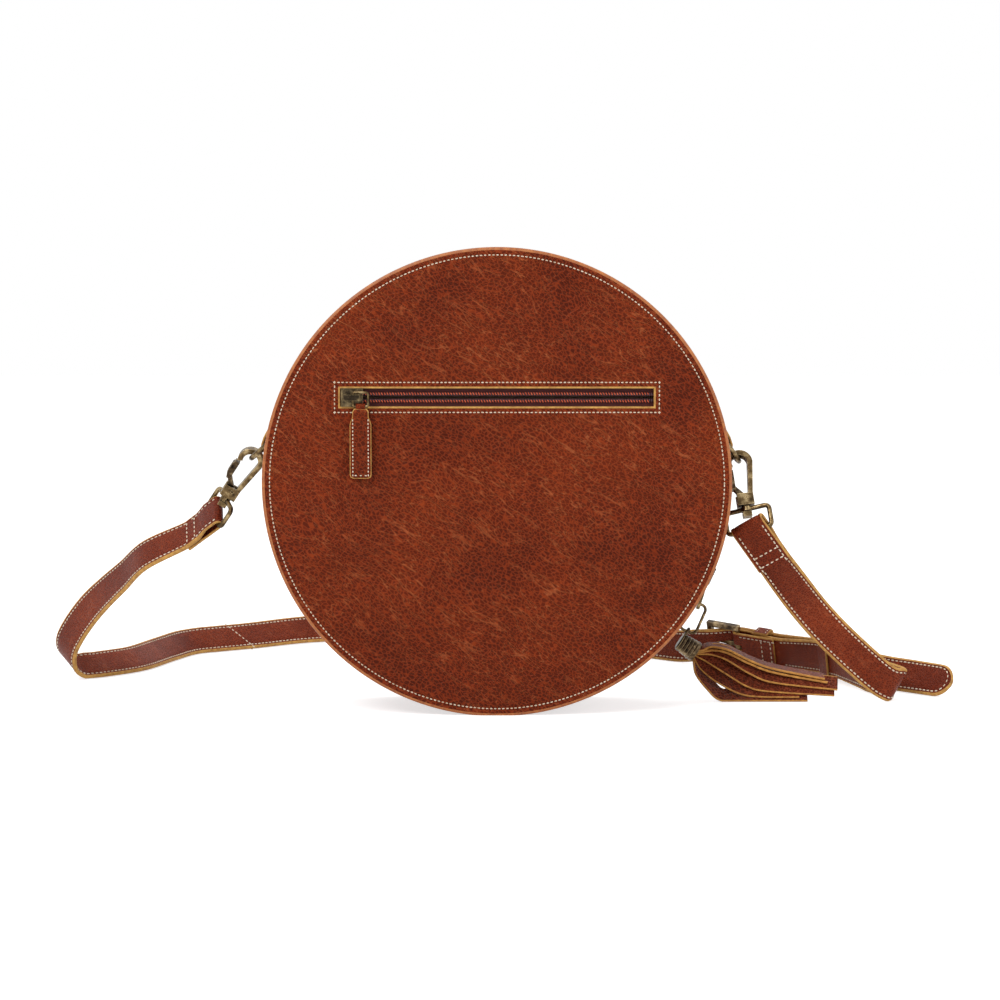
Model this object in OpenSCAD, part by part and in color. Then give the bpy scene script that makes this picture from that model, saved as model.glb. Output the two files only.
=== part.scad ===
// Round leather crossbody bag that stands on its rim. Its back, with the zip pocket, faces -Y.
// The strap is clipped to a D-ring at each side and lies on its edge on the table behind the bag.
// Millimetres. The origin is under the middle of the bag, on the table, and +Z is up.

/* [Bag body] */
// Diameter of the two round panels
bag_d = 230; // [200:1:260]
// Depth over the faces of both panels
bag_depth = 64; // [62:1:80]
// Thickness of the panels' leather
panel_t = 2.5; // [2:0.1:3]
// Thickness of the gusset's leather
gusset_t = 1.6; // [1.2:0.1:2]
// How far the gusset is set in from the panels' rims
rim_step = 2; // [1.8:0.1:2.4]
// Width of the seam that is turned in behind each panel
seam_w = 7; // [5:0.5:8]
// Thickness of the lining cloth
lining_t = 0.8; // [0.6:0.1:1]
// Depth of the flat on the rims where the bag stands
foot_flat = 0.5; // [0.4:0.05:0.5]
// Height of the line where the front bends when the bag opens
bend_z = 80; // [76:1:88]

/* [Main zip] */
// Distance of the zip's middle from the bag's middle, towards the front
zip_y = 18.5; // [18:0.1:19]
// Width of the gap between the gusset strips, where the zip shows
zip_gap = 10; // [9.6:0.1:11]
// Angle of the zip's right end below the horizontal
zip_end_a = 31; // [30:0.5:36]
// Width of each cloth tape
tape_w = 11; // [9:0.5:12]
// Thickness of the tapes
tape_t = 0.8; // [0.6:0.1:0.9]
// Width of one row of teeth
teeth_w = 1.9; // [1.6:0.1:2.1]
// Thickness of the teeth
teeth_t = 2.8; // [2.4:0.1:3]
// Gap between the two rows, for the slider's blade
teeth_gap = 1.2; // [1:0.1:1.4]
// Angle of the closed slider below the horizontal
slider_a = 25; // [24:0.5:26]
// Length of the main slider
slider_l = 11; // [9:0.5:12]
// Thickness of the slider's plates
slider_plate_t = 1.4; // [1:0.1:1.6]
// Length of the main puller
puller_l = 16.2; // [14:0.1:18]
// Width of the main puller
puller_w = 6; // [5.6:0.1:6.6]

/* [Back pocket zip] */
// Length of the pocket's window
pocket_w = 154; // [130:1:160]
// Height of the pocket's window
pocket_h = 10; // [9.8:0.1:11]
// Height of the window's middle over the middle of the panel
pocket_up = 42; // [38:0.5:46]
// Width of the coil
coil_w = 4.7; // [4.2:0.1:5]
// Thickness of the coil
coil_t = 2.2; // [2:0.1:2.3]
// Depth of the pocket bag below the zip
pocket_deep = 88; // [70:1:100]
// Length of the leather pull
pull_l = 35; // [28:0.5:40]
// Width of the leather pull
pull_w = 10.5; // [9.6:0.1:12]

/* [Strap carriers] */
// Width of the leather tabs
tab_w = 17; // [15:0.5:17]
// Thickness of the tabs' leather
tab_t = 1.2; // [1:0.1:1.4]
// Distance of the D-rings from the bag's middle, towards the back
ring_back = 3; // [2:0.5:4]
// Height of the D-rings' bars over the middle of the panel
ring_up = 17.5; // [16:0.5:20]
// Diameter of the D-rings' wire
ring_wire = 2.6; // [2.4:0.1:2.8]
// Play on each side of the tab inside a D-ring
ring_play = 0.75; // [0.75:0.05:1.25]

/* [Snap hooks] */
// Length of a hook from its base to the middle of its bow
hook_l = 22.5; // [22:0.5:24]
// Outer radius of the bow
bow_r = 6.5; // [6.3:0.1:7]
// Thickness of the bow, seen from the side
bow_t = 2.6; // [2.2:0.1:2.6]
// Width of the hook's metal
hook_w = 5; // [4.4:0.1:5.4]
// Diameter of the wire of the strap rings
loop_wire = 2.4; // [2.2:0.1:2.6]
// Length of a strap ring between the middles of its bars
loop_h = 11; // [10.8:0.1:12]
// Play on each side of the strap inside its ring
loop_play = 1.2; // [1.2:0.05:1.75]

/* [Strap] */
// Width of the strap
strap_w = 18; // [16:0.5:18.2]
// Thickness of the strap
strap_t = 2.4; // [2:0.1:2.6]
// Thickness of the thinned leather at the folded ends
fold_t = 1.4; // [1.2:0.1:1.5]
// Length of the open pocket round a ring or bar
fold_l = 17; // [16:0.5:18]
// Length of the sewn end behind the pocket
sewn_l = 9; // [8:0.5:11]
// Diameter of the punched holes
hole_d = 3.4; // [3:0.1:4]

/* [Buckle] */
// Thickness of the buckle's frame
frame_t = 2.8; // [2.4:0.1:3]
// Length inside the frame
frame_inner_l = 16; // [15.5:0.5:18]
// Play on each side of the strap inside the buckle
frame_play = 0.6; // [0.5:0.05:1]
// Width of the keepers
keeper_w = 8.5; // [7:0.5:9]
// Thickness of the keepers' leather
keeper_t = 1.3; // [1:0.1:1.5]

/* [Tassel] */
// Length of the tassel's cap
cap_l = 10.5; // [9:0.5:12]
// Radius of the cap's open end
cap_r = 5.5; // [5:0.1:5.6]
// Width of each leather strip
strip_w = 8; // [7:0.5:8]
// Thickness of each strip
strip_t = 1.2; // [1:0.1:1.2]

/* [Hidden] */
$fn = 64;

leather = "#8a4426";
edge_tan = "#b9812f";
cloth = "#6e2f26";
brass = "#8f7a4d";
dark_brass = "#5b4f38";

// Room between pieces that move on each other, and round a shaft or bar
gap = 0.3;
bar_gap = 0.15;
pin_gap = 0.05;
// How far a cut runs past what it cuts
past = 1;
// How much slimmer the strap is than its folded ends
skim = 0.1;

bag_r = bag_d / 2;
half_y = bag_depth / 2;
centre_z = bag_r - foot_flat;
wall_r = bag_r - rim_step;
inner_r = wall_r - gusset_t;
back_in_y = -half_y + panel_t;
front_in_y = half_y - panel_t;
zip_end_left_a = 180 + zip_end_a;
room_xy = bag_d * 2;

// The part of a piece that lies over the table
module over_table() {
    difference() {
        children();
        translate([-room_xy / 2, -room_xy / 2, -room_xy]) cube([room_xy, room_xy, room_xy]);
    }
}

// The part of a piece above or below the line where the front bends
// The origin lies under the back panel's rim, which the bag stands on
module seated() {
    translate([0, half_y - panel_t / 2, 0]) children();
}

module above_bend() {
    intersection() {
        children();
        translate([-room_xy / 2, -room_xy / 2, bend_z + gap / 2]) cube([room_xy, room_xy, room_xy]);
    }
}

module below_bend() {
    intersection() {
        children();
        translate([-room_xy / 2, -room_xy / 2, bend_z - gap / 2 - room_xy])
            cube([room_xy, room_xy, room_xy]);
    }
}

// Band round the bag's axis, from radius r1 to r2, from y1 to y2, between two angles above +X
module band(r1, r2, y1, y2, a1 = 0, a2 = 360) {
    translate([0, 0, centre_z]) rotate([90, 0, 0]) rotate([0, 0, a1])
        rotate_extrude(angle = a2 - a1) translate([r1, -y2]) square([r2 - r1, y2 - y1]);
}

module disc(r, y1, y2) {
    translate([0, y2, centre_z]) rotate([90, 0, 0]) cylinder(r = r, h = y2 - y1);
}

// Plate with round corners in the XZ plane, centred, from y = 0 to y = t
module plate(w, h, t, r) {
    translate([-w / 2 + r, 0, -h / 2]) cube([w - 2 * r, t, h]);
    translate([-w / 2, 0, -h / 2 + r]) cube([w, t, h - 2 * r]);
    for (x = [-1, 1], z = [-1, 1])
        translate([x * (w / 2 - r), t, z * (h / 2 - r)]) rotate([90, 0, 0]) cylinder(r = r, h = t);
}

// Puts its children at o, with their X and Z along two directions
module placed(o, x, z) {
    y = cross(z, x);
    multmatrix([[x.x, y.x, z.x, o.x], [x.y, y.y, z.y, o.y], [x.z, y.z, z.z, o.z], [0, 0, 0, 1]]) children();
}

function unit(v) = v / norm(v);
function square_to(v, t) = unit(v - (v * t) * t);
function first3(v) = [v[0], v[1], v[2]];
function last3(v) = [v[3], v[4], v[5]];

// Round wire as a closed ring with straight sides, in the XZ plane, between the middles of its wires
module wire_ring(w, h, d, r) {
    for (x = [-1, 1]) translate([x * w / 2, 0, -h / 2 + r]) cylinder(d = d, h = h - 2 * r);
    for (z = [-1, 1]) translate([-w / 2 + r, 0, z * h / 2]) rotate([0, 90, 0])
        cylinder(d = d, h = w - 2 * r);
    for (x = [0, 1], z = [0, 1]) mirror([x, 0, 0]) mirror([0, 0, z])
        translate([w / 2 - r, 0, h / 2 - r]) rotate([90, 0, 0])
            rotate_extrude(angle = 90) translate([r, 0]) circle(d = d, $fn = 24);
}

// Bag body

// Seam that a gusset turns in behind a panel
module turned_seam(front, a1, a2) {
    if (front) band(wall_r - seam_w, inner_r + gusset_t, front_in_y - gusset_t, front_in_y, a1, a2);
    else band(wall_r - seam_w, inner_r + gusset_t, back_in_y, back_in_y + gusset_t, a1, a2);
}

strip_edge_back_y = zip_y - zip_gap / 2;
strip_edge_front_y = zip_y + zip_gap / 2;

module back_panel() color(leather) over_table() difference() {
    disc(bag_r, -half_y, back_in_y);
    translate([0, -half_y - past, centre_z + pocket_up])
        plate(pocket_w, pocket_h, panel_t + 2 * past, pocket_h / 8);
}

module base_gusset() color(leather) over_table() {
    band(inner_r, wall_r, back_in_y, front_in_y, zip_end_left_a, 360 - zip_end_a);
    turned_seam(false, zip_end_left_a, 360 - zip_end_a);
    turned_seam(true, zip_end_left_a, 360 - zip_end_a);
}

module back_gusset() color(leather) {
    band(inner_r, wall_r, back_in_y, strip_edge_back_y, -zip_end_a, zip_end_left_a);
    turned_seam(false, -zip_end_a, zip_end_left_a);
}

module front_strip() {
    band(inner_r, wall_r, strip_edge_front_y, front_in_y, -zip_end_a, zip_end_left_a);
    turned_seam(true, -zip_end_a, zip_end_left_a);
}

module front_disc() {
    disc(bag_r, front_in_y, half_y);
}

module front_base() color(leather) over_table() below_bend() front_disc();
module front_base_strips() color(leather) below_bend() front_strip();
module front_panel() color(leather) above_bend() front_disc();
module front_gusset() color(leather) above_bend() front_strip();

lining_r = wall_r - seam_w - gap;
pocket_cloth_t = 2 * lining_t;
back_lining_y = back_in_y + tape_t + pocket_cloth_t + 3 * gap;

module lining() color(cloth) {
    disc(lining_r, back_lining_y, back_lining_y + lining_t);
    band(inner_r - lining_t, inner_r, back_in_y + gusset_t, zip_y - tape_w - gap, -zip_end_a,
        zip_end_left_a);
    band(inner_r - lining_t, inner_r, back_in_y + gusset_t, front_in_y - gusset_t,
         zip_end_left_a + stop_a / 4, 360 - zip_end_a - stop_a / 4);
    below_bend() disc(lining_r, front_in_y - lining_t, front_in_y);
}

module front_lining() color(cloth) above_bend() disc(lining_r, front_in_y - lining_t, front_in_y);

// Main zip

teeth_edge = teeth_gap / 2 + teeth_w;
teeth_r2 = inner_r - tape_t / 2 + teeth_t / 2;
teeth_r1 = teeth_r2 - teeth_t;

module tape(side) {
    y1 = zip_y + (side < 0 ? -tape_w : teeth_edge);
    y2 = zip_y + (side < 0 ? -teeth_edge : tape_w);
    band(inner_r - tape_t, inner_r, y1, min(y2, front_in_y - gusset_t), -zip_end_a, zip_end_left_a);
}

module teeth(side) {
    y1 = zip_y + (side < 0 ? -teeth_edge : teeth_gap / 2);
    band(teeth_r1, teeth_r2, y1, y1 + teeth_w, stop_a - zip_end_a, zip_end_left_a - stop_a);
}

stop_l = 3;
stop_a = 2 * asin(stop_l / wall_r);

module zip_tape_back() color(cloth) tape(-1);
module zip_teeth_back() color(brass) teeth(-1);
module zip_ends_tape() color(cloth) below_bend() tape(1);
module zip_ends_teeth() color(brass) below_bend() teeth(1);
module zip_tape_front() color(cloth) above_bend() tape(1);
module zip_teeth_front() color(brass) above_bend() teeth(1);

// Metal stops that close the rows of teeth at both ends
module zip_stops() color(brass)
    for (a = [-zip_end_a + stop_a / 2, zip_end_left_a - stop_a])
        band(teeth_r1, teeth_r2, zip_y - teeth_edge, zip_y + teeth_edge, a, a + stop_a / 2);

// Slider body round a zip whose tapes' outer face is at z = 0 and whose length runs along X.
// Its teeth reach over and under that face by above and below, and are teeth_half wide on each side.
module slider_body(l, half_w, teeth_half, above, below, t, lift) {
    top = above + lift;
    bottom = -below - lift;
    rail = half_w - teeth_half - lift;
    translate([-l / 2, -half_w, top]) cube([l, 2 * half_w, t]);
    translate([-l / 2, -half_w, bottom - t]) cube([l, 2 * half_w, t]);
    for (s = [0, 1]) mirror([0, s, 0]) translate([-l / 2, half_w - rail, gap]) cube([l, rail, top - gap]);
    translate([l / 2 - l / 5, -teeth_gap / 4, bottom - t / 2])
        cube([l / 5, teeth_gap / 2, top - bottom + t]);
}

// Arch that a puller's bar is caught under: l long and w wide, with an opening of height h
module slider_bridge(l, w, z, h, t) {
    for (x = [-l / 2, l / 2 - t]) translate([x, -w / 2, z]) cube([t, w, h + t]);
    translate([-l / 2, -w / 2, z + h]) cube([l, w, t]);
}

main_half_w = teeth_edge + gap + slider_plate_t - gap / 2;
main_lift = 0.45;
main_above = teeth_t / 2 - tape_t / 2;
main_below = teeth_t / 2 + tape_t / 2;
bridge_in = 1;
bridge_l = slider_l - 2 * bridge_in;
bridge_w = 2.4;
bridge_z = main_above + main_lift + slider_plate_t;
puller_bar = 1.5;
bridge_h = 6;
bridge_t = slider_plate_t * 0.8;
pivot_up = bridge_z + bridge_h - gap - puller_bar / 2;
pivot_along = bridge_l / 2 - bridge_t - gap - puller_bar / 2;

// Frame at an angle round the bag: X along the rim, anticlockwise from the back, Z outwards
module at_angle(a, r) {
    translate([0, zip_y, centre_z]) rotate([0, -a, 0]) translate([r, 0, 0])
        placed([0, 0, 0], [0, 0, 1], [1, 0, 0]) children();
}

module main_slider() color(dark_brass) at_angle(-slider_a, inner_r) {
    slider_body(slider_l, main_half_w, teeth_edge, main_above, main_below, slider_plate_t, main_lift);
    slider_bridge(bridge_l, bridge_w, bridge_z, bridge_h, bridge_t);
}

// The puller's bar lies under the bridge at its lower end
puller_slot_w = bridge_w + 4 * gap;
puller_t = 1.6;
puller_tilt = 17;
pivot_r = inner_r + pivot_up;
pivot = [pivot_r * cos(slider_a) - pivot_along * sin(slider_a), zip_y,
         centre_z - pivot_r * sin(slider_a) - pivot_along * cos(slider_a)];
puller_dir = [-sin(puller_tilt), 0, -cos(puller_tilt)];
eye_d = 3;

module main_puller() color(brass) placed(pivot, [0, 1, 0], -puller_dir) difference() {
    union() {
        translate([-puller_w / 2, 0, 0]) rotate([0, 90, 0]) cylinder(d = puller_bar, h = puller_w);
        for (x = [-puller_w / 2, puller_w / 2 - (puller_w - puller_slot_w) / 2])
            translate([x, -puller_t / 2, -bridge_l / 2])
                cube([(puller_w - puller_slot_w) / 2, puller_t, bridge_l / 2]);
        translate([-puller_w / 2, -puller_t / 2, -puller_l + puller_w / 2])
            cube([puller_w, puller_t, puller_l - puller_w / 2 - bridge_l / 2 + puller_t - 2 * gap]);
        translate([0, puller_t / 2, -puller_l + puller_w / 2]) rotate([90, 0, 0])
            cylinder(d = puller_w, h = puller_t);
    }
    translate([0, puller_t, -puller_l + puller_w / 2]) rotate([90, 0, 0])
        cylinder(d = eye_d, h = 2 * puller_t);
}

// Tassel

link_d = 1.5;
link_w = 10.5;
link_h = 16.9;
link_lean = 23.4;
link_top = pivot + (puller_l - puller_w / 2) * puller_dir;
link_dir = [-sin(link_lean), 0, -cos(link_lean)];
link_mid = link_top + (link_h - link_d) / 2 * link_dir;
link_foot = link_top + (link_h - link_d) * link_dir;

// The cap hangs by an eye at the upper edge of its closed end
cap_dip = 34;
cap_dir = [cos(cap_dip), 0, -sin(cap_dip)];
cap_rise = [sin(cap_dip), 0, cos(cap_dip)];
cap_taper = 0.8;
cap_small_r = cap_r - cap_taper;
cap_wall = 0.8;
cap_floor = 2.4;
cap_eye_r = 2;
cap_eye_wire = 1.2;
cap_eye = link_foot - [0, 0, gap];
cap_start = cap_eye - cap_eye_wire / 2 * cap_dir - (cap_small_r + cap_eye_r - cap_eye_wire / 2) * cap_rise;
cap_end = cap_start + cap_l * cap_dir;

module tassel_link() color(brass) placed(link_mid, [cos(link_lean), 0, -sin(link_lean)], -link_dir)
    wire_ring(link_w - link_d, link_h - link_d, link_d, link_w / 4);

module tassel_cap() color(dark_brass) {
    placed(cap_start, [0, 1, 0], cap_dir) difference() {
        cylinder(r1 = cap_small_r, r2 = cap_r, h = cap_l);
        translate([0, 0, cap_floor])
            cylinder(r1 = cap_small_r - cap_wall, r2 = cap_r - cap_wall, h = cap_l - cap_floor + gap / 10);
    }
    placed(cap_eye, [0, 1, 0], cap_dir) rotate_extrude() translate([cap_eye_r, 0])
        circle(d = cap_eye_wire, $fn = 24);
}

// Curves through hand-set rows. A row holds a point and, after it, the way the strap's upper edge points.
function blend_row(p0, p1, p2, p3, s) = 0.5 * (2 * p1 + (p2 - p0) * s
    + (2 * p0 - 5 * p1 + 4 * p2 - p3) * s * s + (3 * p1 - p0 - 3 * p2 + p3) * s * s * s);
function row_at(rows, i, s) = blend_row(rows[max(i - 1, 0)], rows[i], rows[min(i + 1, len(rows) - 1)],
    rows[min(i + 2, len(rows) - 1)], s);
function curve(rows, steps) = [for (i = [0:len(rows) - 2], k = [0:steps - 1]) row_at(rows, i, k / steps),
    rows[len(rows) - 1]];
function way(rows, i) = unit(first3(rows[min(i + 1, len(rows) - 1)]) - first3(rows[max(i - 1, 0)]));

// Corners of a flat strap's section at one row, lifted where it would cut into the table
function section(rows, i, w, t, shift) =
    let (d = way(rows, i), up = square_to(last3(rows[i]), d), side = cross(d, up),
         reach = abs(up.z) * w / 2 + abs(side.z) * t / 2,
         p = first3(rows[i]) + side * shift,
         m = [p.x, p.y, max(p.z, reach)])
    [m + up * w / 2 + side * t / 2, m + up * w / 2 - side * t / 2,
     m - up * w / 2 - side * t / 2, m - up * w / 2 + side * t / 2];

// Solid through a list of four-cornered sections
module skin(sections) {
    n = len(sections);
    points = [for (s = sections, p = s) p];
    sides = [for (i = [0:n - 2], k = [0:3])
        let (a = 4 * i + k, b = 4 * i + (k + 1) % 4, c = a + 4, d = b + 4) each [[a, b, c], [b, d, c]]];
    last = 4 * (n - 1);
    ends = [[0, 2, 1], [0, 3, 2], [last, last + 1, last + 2], [last, last + 2, last + 3]];
    polyhedron(points, concat(sides, ends));
}

module ribbon(rows, w, t, shift = 0) {
    skin([for (i = [0:len(rows) - 1]) section(rows, i, w, t, shift)]);
}

// Strips: each row is where a strip's near edge runs, as a share of the tassel's reach from its
// cap and a share of its rise over the table. The first strip lies on top.
tassel_reach = 72;
tassel_rise = 30;
strip_near = 9;
strip_rows = [
    [[0.10, 0.91], [0.21, 0.885], [0.375, 0.70], [0.544, 0.56], [0.90, 0.390]],
    [[0.11, 0.855], [0.21, 0.83], [0.375, 0.645], [0.544, 0.50], [0.92, 0.330]],
    [[0.12, 0.76], [0.22, 0.70], [0.386, 0.465], [0.55, 0.32], [0.993, 0.200]],
    [[0.10, 0.62], [0.20, 0.49], [0.367, 0.25], [0.52, 0.17], [0.97, 0.100]],
    [[0.06, 0.49], [0.15, 0.33], [0.29, 0.15], [0.42, 0.085], [0.72, 0.075]],
    [[0.02, 0.40], [0.09, 0.19], [0.17, 0.02], [0.30, 0.00], [0.78, -0.05]]
];
strip_tilts = [12, 12, 55, 60, 60, 48];
strip_side_shares = [0.5, 0.2, 0, 0, 0];
strip_width_shares = [0.46, 0.52, 0.88, 1, 1, 1, 1];
strip_gap = 0.06;
strip_pitch = strip_t + strip_gap;
strip_root_tilt = 35;
strip_root_up = [0, cos(strip_root_tilt), sin(strip_root_tilt)];
strip_steps = 3;

function strip_way(i) = let (side = cross(cap_dir, strip_root_up), n = (len(strip_rows) - 1) / 2 - i,
        up = [0, cos(strip_tilts[i]), sin(strip_tilts[i])])
    concat([for (d = [cap_l * 0.45, 0]) concat(cap_end - d * cap_dir + n * strip_pitch * side,
        strip_root_up)],
           [for (k = [0:len(strip_rows[i]) - 1]) let (r = strip_rows[i][k])
               concat([cap_end.x + r[0] * tassel_reach,
                   strip_near + strip_side_shares[k] * (zip_y - strip_near),
                       r[1] * tassel_rise] + up * strip_w / 2, up)]);

module tassel_strips() color(leather)
    for (i = [0:len(strip_rows) - 1]) {
        rows = curve(strip_way(i), strip_steps);
        skin([for (k = [0:len(rows) - 1])
            let (j = k / strip_steps, f = floor(j), c = min(f + 1, len(strip_width_shares) - 1),
                 share = strip_width_shares[f] + (j - f) * (strip_width_shares[c] - strip_width_shares[f]))
            section(rows, k, share * strip_w, strip_t, 0)]);
    }

// Back pocket

pocket_z = centre_z + pocket_up;
coil_row_w = (coil_w - teeth_gap / 2) / 2;
coil_edge = teeth_gap / 4 + coil_row_w;
tape_out = 6;

module pocket_tape() color(cloth) difference() {
    translate([0, back_in_y, pocket_z])
        plate(pocket_w + 2 * tape_out, pocket_h + 2 * tape_out, tape_t, tape_out / 2);
    translate([-pocket_w / 2, back_in_y - past, pocket_z - teeth_gap / 2])
        cube([pocket_w, tape_t + 2 * past, teeth_gap]);
}

module pocket_coil() color(dark_brass) for (s = [0, 1])
    translate([-pocket_w / 2, back_in_y - coil_t, pocket_z]) mirror([0, 0, s])
        translate([0, 0, teeth_gap / 2]) cube([pocket_w, coil_t, coil_row_w]);

module pocket_bag() color(cloth) difference() {
    translate([0, back_in_y + tape_t, pocket_z - pocket_deep / 2 + tape_out])
        plate(pocket_w + 2 * tape_out, pocket_deep + pocket_h, pocket_cloth_t, tape_out);
    translate([0, back_in_y, pocket_z])
        plate(pocket_w, pocket_h + tape_out / 2, tape_t + pocket_cloth_t + past, gap);
}

pocket_slider_l = 10.7;
pocket_half_w = 4.4;
slider_rest = 1;
pocket_slider_x = -pocket_w / 2 + pocket_slider_l / 2 + slider_rest;
pocket_bridge_l = 8;
pocket_bridge_w = 3;
pocket_bridge_h = 2.9;
pocket_plate_t = 1;
bail_wire = 1.3;
bail_w = 7.4;
bail_h = 6.9;
bail_bend = bail_wire;
bail_out = 0.6;
bail_drop = 0.9;
bail_x = pocket_slider_x + bail_out;
bail_y = -half_y - pocket_plate_t - pocket_bridge_h + bail_wire / 2 + gap;
bail_mid_z = pocket_z - bail_drop;

module pocket_slider() color(dark_brass)
    placed([pocket_slider_x, back_in_y, pocket_z], [1, 0, 0], [0, -1, 0]) {
        slider_body(pocket_slider_l, pocket_half_w, teeth_gap / 2 + coil_row_w, coil_t, tape_t,
                    pocket_plate_t, gap);
        slider_bridge(pocket_bridge_l, pocket_bridge_w, coil_t + gap + pocket_plate_t, pocket_bridge_h,
                      pocket_plate_t * 0.9);
    }

module pocket_bail() color(brass) translate([bail_x + bail_w / 2, bail_y, bail_mid_z])
    wire_ring(bail_w, bail_h, bail_wire, bail_bend);

pull_t = 2.1;
pull_fold_t = 0.7;
pull_loop_r = bail_wire / 2 + bar_gap + pull_fold_t;
pull_loop_w = bail_w - 2 * bail_bend - gap;
pull_top_w = pull_w * 0.74;
pull_z = bail_mid_z - bail_h / 2;
pull_x = bail_x + bail_w / 2;
pull_neck = pull_l / 6;
pull_start = bail_wire / 2 + gap;

module pocket_pull() color(leather) translate([pull_x, bail_y, pull_z]) difference() {
    union() {
        translate([-pull_loop_w / 2, 0, 0]) rotate([0, 90, 0]) cylinder(r = pull_loop_r, h = pull_loop_w);
        translate([-pull_top_w / 2, -pull_t / 2, -pull_neck])
            cube([pull_top_w, pull_t, pull_neck - pull_start]);
        translate([0, -pull_t / 2, -(pull_l + pull_neck) / 2])
            plate(pull_w, pull_l - pull_neck, pull_t, pull_w / 8);
    }
    translate([-pull_w, 0, 0]) rotate([0, 90, 0]) cylinder(d = bail_wire + 2 * bar_gap, h = 2 * pull_w);
}

// Tabs and D-rings

tab_loop_r = ring_wire / 2 + bar_gap + tab_t;
ring_r = wall_r + tab_loop_r + bar_gap;
ring_a = asin(ring_up / ring_r);
ring_x = ring_r * cos(ring_a);
ring_z = centre_z + ring_up;
ring_y = -ring_back;
ring_inner = tab_w + 2 * ring_play;
arc_r = (ring_inner + ring_wire) / 2;
tab_top_a = 34;

module tab() {
    difference() {
        union() {
            band(wall_r, wall_r + 2 * tab_t, ring_y - tab_w / 2, ring_y + tab_w / 2, ring_a, tab_top_a);
            translate([ring_x, ring_y + tab_w / 2, ring_z]) rotate([90, 0, 0])
                cylinder(r = tab_loop_r, h = tab_w);
        }
        translate([ring_x, ring_y + tab_w, ring_z]) rotate([90, 0, 0])
            cylinder(d = ring_wire + 2 * bar_gap, h = 2 * tab_w);
    }
}

module d_ring() {
    rotate([90, 0, 0]) cylinder(d = ring_wire, h = 2 * arc_r, center = true);
    for (y = [-1, 1]) translate([0, y * arc_r, 0]) sphere(d = ring_wire);
    rotate([-90, 0, 90]) rotate_extrude(angle = 180) translate([arc_r, 0]) circle(d = ring_wire, $fn = 24);
}

ring_lift_left = 50;
ring_lift_right = 37;

module tab_left() color(leather) mirror([1, 0, 0]) tab();
module tab_right() color(leather) tab();
module ring_left() color(brass) translate([-ring_x, ring_y, ring_z]) rotate([0, ring_lift_left, 0])
    d_ring();
module ring_right() color(brass) translate([ring_x, ring_y, ring_z]) rotate([0, -ring_lift_right, 0])
    d_ring();

// Snap hooks: Z runs from the base to the bow, X to the fixed branch, and Y across the metal

base_w = 8.2;
base_h = 6;
base_over = 0.7;
base_t = hook_w + 2 * base_over;
pin_x = 0.5;
pin_z = 4;
pin_d = 1.6;
cheek_t = 0.9;
slot_t = hook_w - 2 * cheek_t;
barrel_r = 1.8;
bow_in = bow_r - bow_t;
seat_gap = 0.4;
loop_seat = loop_wire / 2 + seat_gap;
post_d = 2.6;
head_w = 4.4;
head_h = 2.2;
boss_r = 2.6;
nose_a = 205;
thumb = 0.6;
lip = 1;
lip_slope = 0.4;
heel_in = 0.6;

module hook_body() {
    difference() {
        translate([-base_w / 2, -base_t / 2, 0]) cube([base_w, base_t, base_h]);
        translate([-base_w, -slot_t / 2, pin_z - barrel_r - gap])
            cube([base_w + pin_x + barrel_r + gap, slot_t, base_h]);
        translate([pin_x, 0, pin_z]) rotate([90, 0, 0]) cylinder(d = pin_d, h = 2 * base_t, center = true);
    }
    rotate([90, 0, 0]) translate([0, 0, -hook_w / 2]) linear_extrude(hook_w)
        polygon([[base_w / 2 - bow_t + gap, base_h - gap], [base_w / 2, base_h - gap],
            [bow_r, hook_l], [bow_in, hook_l]]);
    translate([0, 0, hook_l]) rotate([90, 0, 0]) translate([0, 0, -hook_w / 2])
        rotate_extrude(angle = nose_a) translate([bow_in, 0]) square([bow_t, hook_w]);
    translate([0, 0, -2 * loop_seat - gap]) cylinder(d = post_d, h = 2 * loop_seat + gap + past);
    translate([-head_w / 2, -head_w / 2, -2 * loop_seat - gap - head_h])
        cube([head_w, head_w, head_h + gap]);
}

gate_tip_z = hook_l - bow_r * sin(nose_a - 180) - 3 * gap;

module gate_body() {
    difference() {
        union() {
            translate([pin_x, 0, pin_z]) rotate([90, 0, 0])
                cylinder(r = barrel_r, h = slot_t - 2 * gap, center = true);
            rotate([90, 0, 0]) translate([0, 0, -slot_t / 2 + gap]) linear_extrude(slot_t - 2 * gap)
                polygon([[pin_x - barrel_r, pin_z - barrel_r / 2], [pin_x, pin_z + barrel_r],
                         [-bow_in, base_h * 1.8], [-bow_r + gap, base_h * 1.8]]);
            rotate([90, 0, 0]) translate([0, 0, -hook_w / 2]) linear_extrude(hook_w)
                polygon([[-bow_in, base_h * 1.5], [-bow_in, gate_tip_z], [-bow_r, gate_tip_z],
                         [-bow_r, gate_tip_z - lip], [-bow_r - thumb, gate_tip_z - lip - lip_slope],
                         [-bow_r - thumb, base_h * 2],
                         [-bow_r + heel_in, base_h * 1.5]]);
        }
        translate([pin_x, 0, pin_z]) rotate([90, 0, 0])
            cylinder(d = pin_d + 2 * pin_gap, h = 2 * base_t, center = true);
        for (y = [-1, 1]) translate([pin_x, y * (slot_t / 2 - gap), pin_z]) rotate([90, 0, 0])
            cylinder(r = barrel_r + past, h = 2 * spring_t + 2 * gap, center = true);
    }
}

spring_t = 0.5;

module pin_body() translate([pin_x, 0, pin_z]) rotate([90, 0, 0])
    cylinder(d = pin_d, h = base_t, center = true);

// Turns of the gate's torsion spring, on the pin at each side of the gate
module spring_body() for (y = [-1, 1]) translate([pin_x, y * (slot_t / 2 - spring_t / 2), pin_z])
    rotate([90, 0, 0])
    difference() {
        cylinder(r = barrel_r - gap, h = spring_t, center = true);
        cylinder(d = pin_d, h = 2 * spring_t, center = true);
    }

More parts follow.
